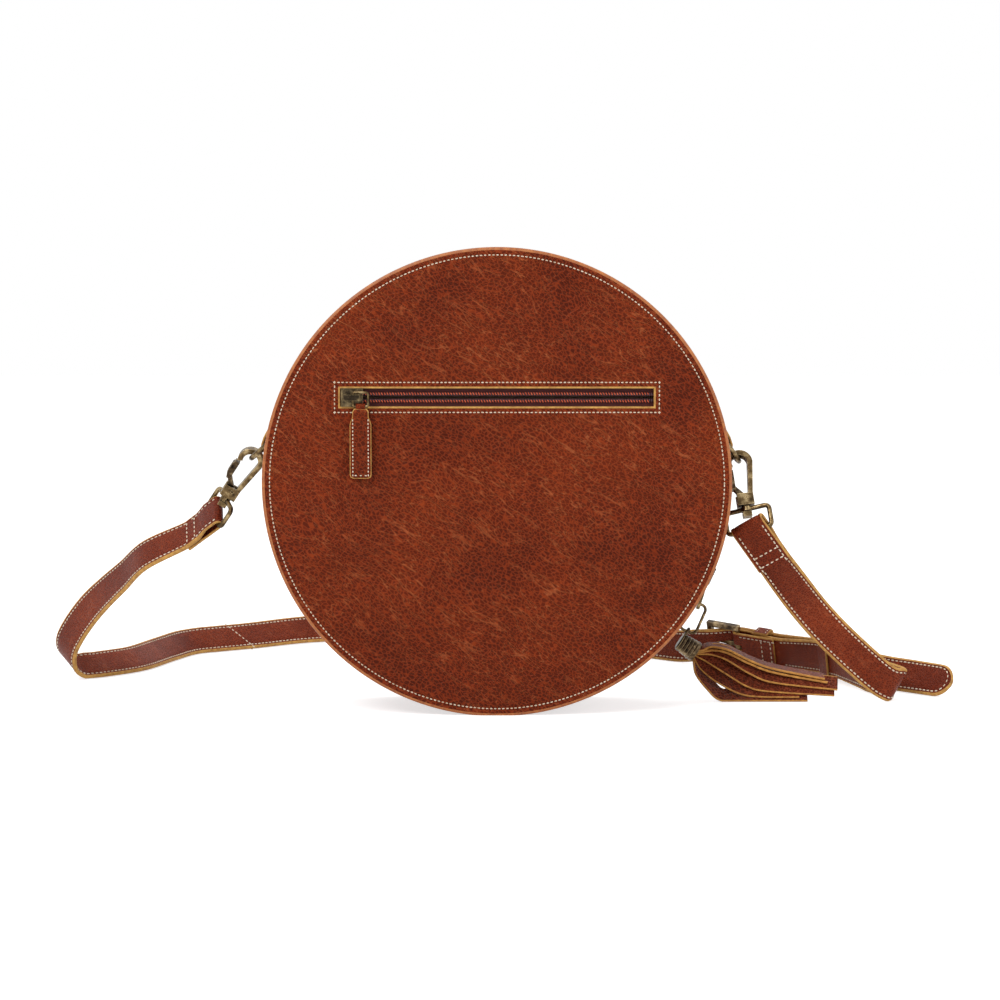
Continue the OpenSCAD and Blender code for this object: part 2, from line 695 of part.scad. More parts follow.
module loop_body() difference() {
    union() {
        translate([0, 0, -loop_seat - loop_h / 2])
            wire_ring(strap_w + 2 * loop_play + loop_wire, loop_h, loop_wire, loop_wire * 0.95);
        translate([0, 0, -loop_seat - loop_wire / 2]) cylinder(r = boss_r, h = loop_wire);
    }
    translate([0, 0, -2 * loop_seat]) cylinder(d = post_d + 2 * bar_gap, h = 4 * loop_seat);
}

// Frames of a strap ring and the strap folded round its far bar: the ring is turned on the hook's axis,
// the strap is tilted round the bar and lies askew in the ring.
function bar_of(axis, branch, turn) = cos(turn) * branch - sin(turn) * cross(axis, branch);
function down_of(axis, bar, tilt) = -cos(tilt) * axis + sin(tilt) * cross(bar, -axis);
fold_in = 5;
hang = 1.9;
turns = [-115, 21];
tilts = [8, 40];
skews = [21, 17];
shift_share = 0.5;

// Left hook: it leans out from the D-ring, and its strap pulls it towards the front
axis_left = unit([0.548, -0.2, 0.812]);
branch_left = square_to([1, 0, 0], axis_left);
swing_left = atan2(axis_left.y, axis_left.z);
wire_left = [-ring_x, ring_y, ring_z] + arc_r * [-cos(swing_left) * sin(ring_lift_left), -sin(swing_left),
                                                -cos(swing_left) * cos(ring_lift_left)];
base_left = wire_left - (hook_l + hang) * axis_left;
bar_left = bar_of(axis_left, branch_left, turns[0]);
down_left = down_of(axis_left, bar_left, tilts[0]);
lead_left = cos(skews[0]) * down_left + sin(skews[0]) * bar_left;
upper_left = cos(skews[0]) * bar_left - sin(skews[0]) * down_left;
far_bar_left = base_left - (loop_seat + loop_h) * axis_left;
fold_left = far_bar_left - fold_in * lead_left + shift_share * fold_in * sin(skews[0]) * upper_left;

// Right hook: it hangs nearly upright and leans back
axis_right = unit([-0.12, 0.4, 0.91]);
branch_right = square_to([1, 0, 0], axis_right);
swing_right = atan2(axis_right.y, axis_right.z);
wire_right = [ring_x, ring_y, ring_z] + arc_r * [cos(swing_right) * sin(ring_lift_right), -sin(swing_right),
                                                -cos(swing_right) * cos(ring_lift_right)];
base_right = wire_right - (hook_l + hang) * axis_right;
bar_right = bar_of(axis_right, branch_right, turns[1]);
down_right = down_of(axis_right, bar_right, tilts[1]);
lead_right = cos(skews[1]) * down_right + sin(skews[1]) * bar_right;
upper_right = cos(skews[1]) * bar_right - sin(skews[1]) * down_right;
far_bar_right = base_right - (loop_seat + loop_h) * axis_right;
fold_right = far_bar_right - fold_in * lead_right + shift_share * fold_in * sin(skews[1]) * upper_right;

module hook_left() color(brass) placed(base_left, branch_left, axis_left) hook_body();
module gate_left() color(dark_brass) placed(base_left, branch_left, axis_left) gate_body();
module gate_pin_left() color(brass) placed(base_left, branch_left, axis_left) pin_body();
module gate_spring_left() color("silver") placed(base_left, branch_left, axis_left) spring_body();
module strap_ring_left() color(brass) placed(base_left, bar_left, axis_left) loop_body();
module hook_right() color(brass) placed(base_right, branch_right, axis_right) hook_body();
module gate_right() color(dark_brass) placed(base_right, branch_right, axis_right) gate_body();
module gate_pin_right() color(brass) placed(base_right, branch_right, axis_right) pin_body();
module gate_spring_right() color("silver") placed(base_right, branch_right, axis_right) spring_body();
module strap_ring_right() color(brass) placed(base_right, bar_right, axis_right) loop_body();

// Strap: rows are shares of the bag's diameter, then the way the upper edge points

function at_share(s) = concat(bag_d * first3(s), last3(s));

fold_r = loop_wire / 2 + bar_gap + fold_t;
straight = fold_l + sewn_l;

// Folded end round a bar: the fold is at the origin, the strap runs along -Z and its width along X
module folded_end(bar_d) {
    in_r = bar_d / 2 + bar_gap;
    out_r = in_r + fold_t;
    flare = -fold_l * 0.6;
    rotate([90, 0, 90]) translate([0, 0, -strap_w / 2]) linear_extrude(strap_w) difference() {
        union() {
            translate([0, -out_r]) circle(r = out_r, $fn = 32);
            polygon([[-out_r, -out_r], [out_r, -out_r], [out_r, flare], [strap_t / 2, -fold_l],
                     [strap_t / 2, -straight], [-strap_t / 2 - fold_t, -straight],
                     [-strap_t / 2 - fold_t, -fold_l], [-out_r, flare]]);
        }
        translate([0, -out_r]) circle(r = in_r, $fn = 32);
        polygon([[-in_r, -out_r], [in_r, -out_r], [in_r, flare], [-strap_t / 2, -fold_l + gap],
            [-in_r, flare]]);
    }
}

// Long piece: from the left ring, round on the table, through the buckle and on to the tongue
sewn_left = fold_left + straight * lead_left;
long_shares = [
    [-0.784, 0.106, 0.320, -0.10, 0.62, 0.77], [-0.844, 0.174, 0.266, -0.16, 0.55, 0.82],
    [-0.893, 0.228, 0.223, -0.26, 0.48, 0.84], [-0.939, 0.278, 0.178, -0.42, 0.44, 0.79],
    [-0.978, 0.317, 0.129, -0.55, 0.47, 0.69], [-1.003, 0.345, 0.085, -0.62, 0.49, 0.60],
    [-1.004, 0.368, 0.050, -0.62, 0.49, 0.60], [-0.985, 0.392, 0.031, -0.62, 0.47, 0.62],
    [-0.940, 0.425, 0.028, -0.64, 0.42, 0.64], [-0.868, 0.520, 0.028, -0.70, 0.30, 0.64],
    [-0.819, 0.680, 0.028, -0.68, 0.32, 0.66], [-0.774, 0.800, 0.030, -0.55, 0.45, 0.70],
    [-0.711, 0.853, 0.032, -0.40, 0.55, 0.73], [-0.639, 0.905, 0.032, -0.42, 0.53, 0.74],
    [-0.497, 1.013, 0.035, -0.36, 0.50, 0.79], [-0.340, 1.070, 0.035, -0.10, 0.50, 0.84],
    [-0.140, 1.100, 0.035, 0.00, 0.45, 0.88], [0.070, 1.020, 0.035, 0.05, 0.55, 0.83],
    [0.270, 0.840, 0.036, 0.05, 0.50, 0.86], [0.400, 0.710, 0.038, 0.00, 0.40, 0.91],
    [0.462, 0.652, 0.041, 0.00, 0.20, 0.97]
];

// Buckle: its heel bar, the way from it to the tongue's side, and the way to its front
buckle_at = bag_d * [0.589, 0.587, 0.0525];
buckle_up = unit([-0.15, -0.35, 0.92]);
buckle_s = square_to([-0.83, 0.545, 0.12], buckle_up);
buckle_n = cross(buckle_s, buckle_up);
heel_d = 2.5;
slot_l = 15;
heel_loop_r = heel_d / 2 + bar_gap + fold_t;
lie = heel_loop_r + strap_t / 2 + gap;

function in_buckle(s, n) = buckle_at + s * buckle_s + n * buckle_n;

// Run of both layers from the buckle to the free keeper and on
run_ends = [bag_d * [0.756, 0.435, 0.046], bag_d * [0.794, 0.335, 0.046]];
run_way = unit(run_ends[0] - run_ends[1]);
run_up = square_to([-0.10, -0.05, 0.99], run_way);
run_n = cross(run_way, run_up);
run_points = [for (k = [0:4]) run_ends[0] + k / 4 * (run_ends[1] - run_ends[0])];

tongue_rows = concat([for (s = long_shares) at_share(s)], [
    concat(in_buckle(frame_inner_l + frame_t / 2, -frame_t / 2 - strap_t / 2 - 3 * gap), buckle_up),
    concat(in_buckle(frame_inner_l * 0.45, lie * 0.3), buckle_up),
    concat(in_buckle(0, lie), buckle_up),
    concat(in_buckle(-fold_l / 2, lie), buckle_up),
    concat(in_buckle(-fold_l * 1.4, lie), buckle_up),
    concat(in_buckle(-straight - heel_loop_r, lie), buckle_up)],
    [for (p = run_points) concat(p + lie * run_n, run_up)], [
    at_share([0.872, 0.250, 0.038, 0.05, 0.40, 0.92]), at_share([0.931, 0.190, 0.036, 0.14, 0.50, 0.86]),
    at_share([0.989, 0.128, 0.035, 0.20, 0.55, 0.81])
]);

long_rows = concat([concat(sewn_left - straight / 3 * lead_left, upper_left),
    concat(sewn_left, upper_left)], tongue_rows);
long_curve = curve(long_rows, 4);

tip = len(long_curve) - 1;

// Puts its children on the long piece's middle line, with Z through the leather
module on_strap(i) {
    s = section(long_curve, i, strap_w, strap_t, 0);
    d = way(long_curve, i);
    placed((s[0] + s[2]) / 2, d, cross(d, square_to(last3(long_curve[i]), d))) children();
}

module strap_long() color(leather) {
    difference() {
        union() {
            placed(fold_left, upper_left, -lead_left) folded_end(loop_wire);
            ribbon([for (i = [3:tip]) long_curve[i]], strap_w - skim, strap_t - skim);
            on_strap(tip) cylinder(d = strap_w, h = strap_t, center = true);
        }
        for (k = [5:3:20]) on_strap(tip - k) cylinder(d = hole_d, h = 4 * strap_t, center = true, $fn = 24);
        placed(in_buckle(-heel_d, 0), buckle_s, buckle_n)
            translate([0, -hole_d / 2, -lie]) cube([slot_l, hole_d, 3 * lie]);
    }
}

// Short piece: from the right ring down to the table, folded, and back to the buckle
sewn_right = fold_right + straight * lead_right;
short_shares = [
    [0.676, -0.020, 0.222, 0.72, 0.00, 0.66],
    [0.736, 0.006, 0.156, 0.70, 0.00, 0.70], [0.805, 0.030, 0.091, 0.68, 0.02, 0.73],
    [0.853, 0.042, 0.050, 0.60, 0.10, 0.77], [0.884, 0.056, 0.034, 0.54, 0.22, 0.80],
    [0.888, 0.085, 0.034, 0.40, 0.25, 0.88], [0.866, 0.140, 0.034, 0.20, 0.25, 0.94],
    [0.834, 0.220, 0.042, 0.05, 0.20, 0.97]
];
short_rows = concat([concat(sewn_right - straight / 3 * lead_right, upper_right),
    concat(sewn_right, upper_right)],
    [for (s = short_shares) at_share(s)],
    [for (k = [4:-1:0]) concat(run_points[k], run_up)],
    [concat(in_buckle(-straight - heel_loop_r, 0), buckle_up),
     concat(in_buckle(-straight * 0.8 - heel_loop_r, 0), buckle_up)]);
short_curve = curve(short_rows, 4);

module strap_short() color(leather) difference() {
    union() {
        placed(fold_right, upper_right, -lead_right) folded_end(loop_wire);
        ribbon([for (i = [3:len(short_curve) - 1]) short_curve[i]], strap_w - skim, strap_t - skim);
        placed(in_buckle(heel_loop_r, 0), buckle_up, buckle_s) folded_end(heel_d);
    }
    placed(buckle_at, buckle_s, buckle_n)
        translate([-heel_loop_r - gap, -prong_w / 2 - gap, -2 * heel_loop_r])
        cube([3 * heel_loop_r, prong_w + 2 * gap, 4 * heel_loop_r]);
}

// Keepers: flat leather loops round both layers
stack_t = strap_t + 2 * lie;

module keeper_loop(l, n1, n2) {
    h = strap_w + 2 * gap;
    translate([-l / 2, -h / 2 - keeper_t, n1]) difference() {
        cube([l, h + 2 * keeper_t, n2 - n1]);
        translate([-past, keeper_t, keeper_t]) cube([l + 2 * past, h, n2 - n1 - 2 * keeper_t]);
    }
}

module keeper_fixed() color(leather)
    placed(in_buckle(-heel_loop_r - fold_l * 0.7, 0), buckle_s, buckle_n)
        difference() {
            keeper_loop(keeper_w, -keeper_t, lie + strap_t / 2 + gap + keeper_t);
            translate([-keeper_w, -strap_w / 2, -2 * keeper_t]) cube([2 * keeper_w, strap_w, 3 * keeper_t]);
        }

module keeper_free() color(leather)
    placed((run_ends[0] + run_ends[1]) / 2, run_way, run_n)
        keeper_loop(keeper_w, -strap_t / 2 - gap - keeper_t, lie + strap_t / 2 + gap + keeper_t);

// Buckle
prong_w = 2.4;
frame_l = frame_inner_l + frame_t;
frame_inner_h = strap_w + 2 * frame_play;
frame_out_h = frame_inner_h + 2 * frame_t;

module buckle_frame() color(dark_brass) placed(buckle_at, buckle_s, buckle_n) {
    rotate([90, 0, 0]) cylinder(d = heel_d, h = frame_inner_h + 2 * past, center = true);
    difference() {
        translate([-heel_d / 2, -frame_out_h / 2, -frame_t / 2])
            cube([frame_l + heel_d / 2, frame_out_h, frame_t]);
        translate([-heel_d, -frame_inner_h / 2, -frame_t])
            cube([frame_inner_l + heel_d, frame_inner_h, 2 * frame_t]);
    }
}

module buckle_prong() color(brass) placed(buckle_at, buckle_s, buckle_n) difference() {
    union() {
        rotate([90, 0, 0]) cylinder(d = heel_d + 2 * pin_gap + 2 * prong_t, h = prong_w, center = true);
        rotate([90, 0, 0]) translate([0, 0, -prong_w / 2]) linear_extrude(prong_w)
            polygon([[0, 0], [0, heel_d / 2 + prong_t], [frame_l, frame_t / 2 + gap + prong_t],
                     [frame_l + prong_t, frame_t / 2 + gap], [frame_inner_l - gap, frame_t / 2 + gap],
                     [heel_d, 0]]);
    }
    rotate([90, 0, 0]) cylinder(d = heel_d + 2 * pin_gap, h = 2 * prong_w, center = true);
}

prong_t = 1.2;

seated() back_panel();
seated() base_gusset();
seated() back_gusset();
seated() front_base();
seated() front_base_strips();
seated() lining();
seated() zip_tape_back();
seated() zip_teeth_back();
seated() zip_ends_tape();
seated() zip_ends_teeth();
seated() zip_stops();
seated() front_panel();
seated() front_gusset();
seated() zip_tape_front();
seated() zip_teeth_front();
seated() front_lining();
seated() main_slider();
seated() main_puller();
seated() tassel_link();
seated() tassel_cap();
seated() tassel_strips();
seated() pocket_tape();
seated() pocket_coil();
seated() pocket_bag();
seated() pocket_slider();
seated() pocket_bail();
seated() pocket_pull();
seated() tab_left();
seated() tab_right();
seated() ring_left();
seated() ring_right();
seated() hook_left();
seated() gate_left();
seated() gate_pin_left();
seated() gate_spring_left();
seated() strap_ring_left();
seated() hook_right();
seated() gate_right();
seated() gate_pin_right();
seated() gate_spring_right();
seated() strap_ring_right();
seated() strap_long();
seated() strap_short();
seated() keeper_fixed();
seated() keeper_free();
seated() buckle_frame();
seated() buckle_prong();
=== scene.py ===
import math

import bmesh
import bpy
import numpy as np
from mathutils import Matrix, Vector, noise


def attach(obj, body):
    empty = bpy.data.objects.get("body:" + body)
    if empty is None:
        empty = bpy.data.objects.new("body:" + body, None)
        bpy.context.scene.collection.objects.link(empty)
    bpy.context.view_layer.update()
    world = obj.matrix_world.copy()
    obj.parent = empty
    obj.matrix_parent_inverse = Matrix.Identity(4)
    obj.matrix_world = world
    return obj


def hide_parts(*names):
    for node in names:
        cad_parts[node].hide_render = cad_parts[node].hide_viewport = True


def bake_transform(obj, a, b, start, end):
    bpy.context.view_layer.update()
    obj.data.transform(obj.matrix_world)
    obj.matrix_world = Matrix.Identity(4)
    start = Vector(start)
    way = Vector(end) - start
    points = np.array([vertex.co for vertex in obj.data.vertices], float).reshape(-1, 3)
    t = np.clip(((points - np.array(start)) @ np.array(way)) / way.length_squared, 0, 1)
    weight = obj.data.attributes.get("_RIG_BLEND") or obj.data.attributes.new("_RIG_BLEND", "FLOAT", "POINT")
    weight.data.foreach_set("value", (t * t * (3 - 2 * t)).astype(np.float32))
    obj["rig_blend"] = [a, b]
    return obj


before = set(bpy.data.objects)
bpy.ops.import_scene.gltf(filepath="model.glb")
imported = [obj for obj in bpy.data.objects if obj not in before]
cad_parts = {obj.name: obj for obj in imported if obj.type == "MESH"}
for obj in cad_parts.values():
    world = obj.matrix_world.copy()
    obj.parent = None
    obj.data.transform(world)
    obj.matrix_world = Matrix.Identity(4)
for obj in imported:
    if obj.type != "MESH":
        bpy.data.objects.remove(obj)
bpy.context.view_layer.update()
print("frame loaded:", len(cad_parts), "nodes")

mm = 0.001
forward = 30.75  # from the origin, under the back rim, to the bag's middle, where this script's lengths start
sceneNow = bpy.context.scene
sceneNow.view_settings.view_transform = "Standard"


# Camera

cameraPlace = {"lens": 88.695, "at": (0.0, -1.232, 0.2), "pitch": 85.541, "turn": -0.07}
camera = bpy.data.objects.new("camera", bpy.data.cameras.new("camera"))
camera.data.lens = cameraPlace["lens"]
camera.data.sensor_width = 36
camera.data.clip_end = 50
camera.location = Vector(cameraPlace["at"]) + Vector((0, forward * mm, 0))
camera.rotation_euler = (math.radians(cameraPlace["pitch"]), 0, math.radians(cameraPlace["turn"]))
sceneNow.collection.objects.link(camera)
sceneNow.camera = camera


# Node helpers

def setInputs(tree, node, inputs):
    for key, value in inputs.items():
        if isinstance(value, bpy.types.NodeSocket):
            tree.links.new(value, node.inputs[key])
        else:
            node.inputs[key].default_value = value


def addNode(tree, kind, inputs=None, **settings):
    node = tree.nodes.new(kind)
    for key, value in settings.items():
        setattr(node, key, value)
    setInputs(tree, node, inputs or {})
    return node


def newFinish(name):
    finish = bpy.data.materials.new(name)
    finish.use_nodes = True
    return finish, finish.node_tree, finish.node_tree.nodes["Principled BSDF"]


def rgb(r, g, b):
    return tuple((c / 255 / 12.92) if c <= 10 else ((c / 255 + 0.055) / 1.055) ** 2.4 for c in (r, g, b))


def placeOf(tree):
    return addNode(tree, "ShaderNodeTexCoord").outputs["Object"]


def noiseOf(tree, where, scale, detail=2.0, roughness=0.5):
    inputs = {"Vector": where, "Scale": scale, "Detail": detail, "Roughness": roughness}
    return addNode(tree, "ShaderNodeTexNoise", inputs).outputs


def spreadOf(tree, value, given=(0.0, 1.0), wanted=(0.0, 1.0)):
    inputs = {"Value": value, "From Min": given[0], "From Max": given[1],
              "To Min": wanted[0], "To Max": wanted[1]}
    return addNode(tree, "ShaderNodeMapRange", inputs).outputs[0]


def rampOf(tree, factor, stops):
    ramp = addNode(tree, "ShaderNodeValToRGB", {"Fac": factor})
    elements = ramp.color_ramp.elements
    while len(elements) < len(stops):
        elements.new(0.5)
    for element, (place, colour) in zip(elements, stops):
        element.position = place
        element.color = (*colour, 1)
    return ramp.outputs["Color"]


def mathOf(tree, operation, a, b=0.0):
    return addNode(tree, "ShaderNodeMath", {0: a, 1: b}, operation=operation).outputs[0]


def vectorOf(tree, operation, a, b):
    return addNode(tree, "ShaderNodeVectorMath", {0: a, 1: b}, operation=operation).outputs


def sumOf(tree, *parts):
    total = None
    for socket, share in parts:
        part = mathOf(tree, "MULTIPLY", socket, share)
        total = part if total is None else mathOf(tree, "ADD", total, part)
    return total


def mixOf(tree, share, under, colour):
    return addNode(tree, "ShaderNodeMix", {0: share, 6: under, 7: (*colour, 1)}, data_type="RGBA").outputs[2]


def bumpOf(tree, height, strength, depth, **more):
    inputs = {"Height": height, "Strength": strength, "Distance": depth, **more}
    return addNode(tree, "ShaderNodeBump", inputs).outputs[0]


# Leather: fine pebbles drawn out aslant, with painted light on their raised edges and painted shade in their
# pits, creases that run down to the right with a painted highlight along them, mottled dye

# each look's "line" colour is a painted highlight, mixed into the colour along the crease ridges
leatherLooks = {
    "panelLeather": {"deep": (72, 18, 5), "body": (112, 36, 12), "bright": (146, 58, 24),
                     "line": (186, 100, 58), "grain": 700.0, "bump": 0.8, "rough": (0.38, 0.55),
                     "crease": 0.9, "creaseHighlightShare": 0.6},
    "sideLeather": {"deep": (76, 21, 8), "body": (108, 36, 13), "bright": (142, 58, 26),
                    "line": (174, 92, 54), "grain": 680.0, "bump": 0.7, "rough": (0.4, 0.56),
                    "crease": 0.5, "creaseHighlightShare": 0.3},
    "strapLeather": {"deep": (82, 24, 10), "body": (112, 37, 15), "bright": (148, 62, 32),
                     "line": (178, 98, 64), "grain": 1050.0, "bump": 0.6, "rough": (0.34, 0.5),
                     "crease": 0.5, "creaseHighlightShare": 0.3},
    "tasselLeather": {"deep": (60, 20, 11), "body": (102, 38, 20), "bright": (146, 70, 44),
                      "line": (168, 94, 66), "grain": 820.0, "bump": 0.9, "rough": (0.32, 0.48),
                      "crease": 0.5, "creaseHighlightShare": 0.3},
}
hide = {"wanderScale": 30.0, "wander": 0.009, "slant": -35, "stretch": (0.62, 1.0, 1.0),
        "cellEdge": (0.2, 0.02), "poreScale": 2400.0, "patchScale": 20.0, "creasedPatch": (0.34, 0.58),
        "flatten": 0.6, "creaseScales": ((36.0, 240.0), (66.0, 420.0)), "creaseWidth": 0.02,
        "tones": (0.24, 0.47, 0.74), "shine": 0.2, "shineTint": (1.0, 0.62, 0.45, 1.0), "depth": 0.0006}


def creasesOf(tree, turned):
    ridge = None
    for along, across in hide["creaseScales"]:
        scale = (along, across * hide["flatten"], across)
        aslant = addNode(tree, "ShaderNodeMapping", {"Vector": turned, "Scale": scale}).outputs[0]
        folded = noiseOf(tree, aslant, scale=1.0, detail=1.0)["Fac"]
        off = mathOf(tree, "ABSOLUTE", mathOf(tree, "SUBTRACT", folded, 0.5))
        line = spreadOf(tree, off, (hide["creaseWidth"], 0.0))
        ridge = line if ridge is None else mathOf(tree, "MAXIMUM", ridge, line)
    return ridge


def leatherFinish(name, look):
    finish, tree, shader = newFinish(name)
    place = placeOf(tree)
    wander = noiseOf(tree, place, hide["wanderScale"])["Color"]
    bent = vectorOf(tree, "MULTIPLY", wander, (hide["wander"],) * 3)[0]
    moved = vectorOf(tree, "ADD", place, bent)[0]
    slant = (0.0, math.radians(hide["slant"]), 0.0)
    turned = addNode(tree, "ShaderNodeMapping", {"Vector": moved, "Rotation": slant}).outputs[0]
    drawn = addNode(tree, "ShaderNodeMapping", {"Vector": turned, "Scale": hide["stretch"]}).outputs[0]
    pebbles = {"Vector": drawn, "Scale": look["grain"], "Randomness": 0.95}
    cells = addNode(tree, "ShaderNodeTexVoronoi", pebbles, feature="DISTANCE_TO_EDGE").outputs["Distance"]
    grain = spreadOf(tree, cells, hide["cellEdge"])
    pores = noiseOf(tree, place, hide["poreScale"], detail=3.0)["Fac"]
    patches = noiseOf(tree, place, hide["patchScale"], detail=4.0, roughness=0.55)["Fac"]
    ridge = mathOf(tree, "MULTIPLY", creasesOf(tree, turned), spreadOf(tree, patches, hide["creasedPatch"]))
    # partly painted light: the pebbles' raised edges are lightened and their pits darkened, on top of the real
    # grain pattern and the mottled dye of the patches
    tone = sumOf(tree, (grain, 0.34), (patches, 0.62))
    dyeAndGrainLight = rampOf(tree, tone, list(zip(hide["tones"], (rgb(*look[key]) for key in ("deep", "body", "bright")))))
    # painted highlight: the crease ridges are lightened towards the "line" colour as if lit
    lit = mathOf(tree, "MULTIPLY", ridge, look["creaseHighlightShare"])
    height = sumOf(tree, (grain, 0.6), (pores, 0.2), (ridge, look["crease"]), (patches, 2.4))
    setInputs(tree, shader, {
        "Base Color": mixOf(tree, lit, dyeAndGrainLight, rgb(*look["line"])),
        "Roughness": spreadOf(tree, pores, (0.3, 0.7), look["rough"]),
        "Specular IOR Level": hide["shine"],
        "Specular Tint": hide["shineTint"],
        "Normal": bumpOf(tree, height, look["bump"], hide["depth"]),
    })
    return finish


# Raw and painted edges of leather, and waxed thread: one fine noise that stands for fibres or twisted strands

edgeMake = {"tones": (0.3, 0.7), "scale": 420.0, "detail": 6.0, "tangle": 0.7, "bump": 0.5, "depth": 0.0003}
threadMake = {"tones": (0.35, 0.62), "scale": 1500.0, "detail": 3.0, "tangle": 0.5, "bump": 0.6,
              "depth": 0.0002}
fibreLooks = {
    "rimEdge": {"deep": (138, 70, 34), "bright": (198, 122, 62), "rough": (0.4, 0.6), **edgeMake},
    "rawEdge": {"deep": (150, 98, 40), "bright": (222, 170, 86), "rough": (0.58, 0.78), **edgeMake},
    "tasselEdge": {"deep": (150, 92, 34), "bright": (220, 160, 74), "rough": (0.6, 0.8), **edgeMake},
    "panelThread": {"deep": (196, 166, 132), "bright": (240, 226, 204), "rough": (0.55, 0.8), **threadMake},
    "strapThread": {"deep": (202, 176, 142), "bright": (244, 232, 212), "rough": (0.55, 0.8), **threadMake},
    "zipThread": {"deep": (168, 52, 26), "bright": (236, 112, 66), "rough": (0.55, 0.8), **threadMake},
}


def fibreFinish(name, look):
    finish, tree, shader = newFinish(name)
    fibres = noiseOf(tree, placeOf(tree), look["scale"], look["detail"], look["tangle"])["Fac"]
    stops = list(zip(look["tones"], (rgb(*look["deep"]), rgb(*look["bright"]))))
    setInputs(tree, shader, {
        "Base Color": rampOf(tree, fibres, stops),
        "Roughness": spreadOf(tree, fibres, wanted=look["rough"]),
        "Normal": bumpOf(tree, fibres, look["bump"], look["depth"]),
    })
    return finish


# Woven cloth, on the piece's own map in millimetres

clothLooks = {
    "zipTape": {"deep": (40, 12, 14), "bright": (104, 40, 40), "threads": 2.1, "bump": 0.5},
    "liningWeave": {"deep": (78, 58, 42), "bright": (150, 122, 92), "threads": 1.6, "bump": 0.45},
}


def clothFinish(name, look):
    finish, tree, shader = newFinish(name)
    flat = addNode(tree, "ShaderNodeUVMap", uv_map="weave").outputs[0]
    threads = {"Vector": flat, "Scale": look["threads"], "Distortion": 0.6, "Detail": 1.0, "Detail Scale": 2.0}
    warp = addNode(tree, "ShaderNodeTexWave", threads, bands_direction="X").outputs["Fac"]
    weft = addNode(tree, "ShaderNodeTexWave", threads, bands_direction="Y").outputs["Fac"]
    weave = mathOf(tree, "MAXIMUM", warp, weft)
    fade = noiseOf(tree, flat, scale=0.35, detail=4.0)["Fac"]
    tone = sumOf(tree, (weave, 0.65), (fade, 0.4))
    setInputs(tree, shader, {
        "Base Color": rampOf(tree, tone, [(0.25, rgb(*look["deep"])), (0.9, rgb(*look["bright"]))]),
        "Roughness": spreadOf(tree, weave, wanted=(0.9, 0.72)),
        "Sheen Weight": 0.15,
        "Normal": bumpOf(tree, weave, look["bump"], depth=0.0003),
    })
    return finish


# Metals: patina in random patches, worn bright at corners, fine scratches

metalLooks = {
    "antiqueBrass": {"tones": ((36, 29, 22), (104, 84, 56), (206, 182, 136)), "rough": (0.42, 0.24)},
    "darkBrass": {"tones": ((26, 21, 18), (74, 60, 44), (184, 160, 120)), "rough": (0.46, 0.26)},
    "zipBrass": {"tones": ((84, 58, 28), (158, 118, 62), (214, 178, 112)), "rough": (0.48, 0.28)},
    "agedBrass": {"tones": ((20, 17, 14), (56, 47, 36), (160, 138, 100)), "rough": (0.46, 0.28)},
    "springSteel": {"tones": ((82, 80, 78), (142, 142, 140), (202, 202, 200)), "rough": (0.4, 0.24)},
    "coilNylon": {"tones": ((24, 8, 12), (52, 20, 28), (90, 44, 50)), "rough": (0.5, 0.35)},
}


def metalFinish(name, look):
    finish, tree, shader = newFinish(name)
    place = placeOf(tree)
    deep, body, bright = (rgb(*tone) for tone in look["tones"])
    stain = noiseOf(tree, place, scale=190.0, detail=6.0, roughness=0.65)["Fac"]
    tone = rampOf(tree, stain, [(0.32, deep), (0.5, body), (0.78, bright)])
    soft = addNode(tree, "ShaderNodeBevel", {"Radius": 0.0005}, samples=6).outputs[0]
    sharp = addNode(tree, "ShaderNodeNewGeometry").outputs["Normal"]
    match = vectorOf(tree, "DOT_PRODUCT", soft, sharp)["Value"]
    worn = spreadOf(tree, match, (0.995, 0.86), (0.0, 0.55))
    scratch = noiseOf(tree, place, scale=1300.0, detail=4.0)["Fac"]
    surface = sumOf(tree, (stain, 0.6), (scratch, 0.4))
    setInputs(tree, shader, {
        "Base Color": mixOf(tree, worn, tone, bright),
        "Metallic": 0.0 if name == "coilNylon" else 1.0,
        "Roughness": spreadOf(tree, surface, (0.35, 0.65), look["rough"]),
        "Normal": bumpOf(tree, surface, strength=0.16, depth=0.0002, Normal=soft),
    })
    return finish


finishes = {}
for makeFinish, looks in ((leatherFinish, leatherLooks), (fibreFinish, fibreLooks), (clothFinish, clothLooks),
                          (metalFinish, metalLooks)):
    for name, look in looks.items():
        finishes[name] = makeFinish(name, look)
print("finishes made:", len(finishes))


# Mesh helpers; lengths are in millimetres until a mesh is made

def unit(v):
    v = np.asarray(v, float)
    return v / np.linalg.norm(v)


def bridge(rings, size, base=0, closed=False):
    faces = []
    for k in range(rings if closed else rings - 1):
        near = base + k * size
        far = base + (k + 1) % rings * size
        faces += [(near + j, near + (j + 1) % size, far + (j + 1) % size, far + j) for j in range(size)]
    return faces


def endFaces(rings, size):
    return [tuple(range(size)), tuple(range(rings * size - 1, (rings - 1) * size - 1, -1))]


def fan(middle, first, size):
    return [(middle, first + k, first + (k + 1) % size) for k in range(size)]


def turnsOf(count):
    return [(math.cos(2 * math.pi * k / count), math.sin(2 * math.pi * k / count)) for k in range(count)]


def cosSin(degrees):
    a = math.radians(degrees)
    return math.cos(a), math.sin(a)


def smoothShade(mesh, sharp=38):
    mesh.polygons.foreach_set("use_smooth", [True] * len(mesh.polygons))
    mesh.set_sharp_from_angle(angle=math.radians(sharp))


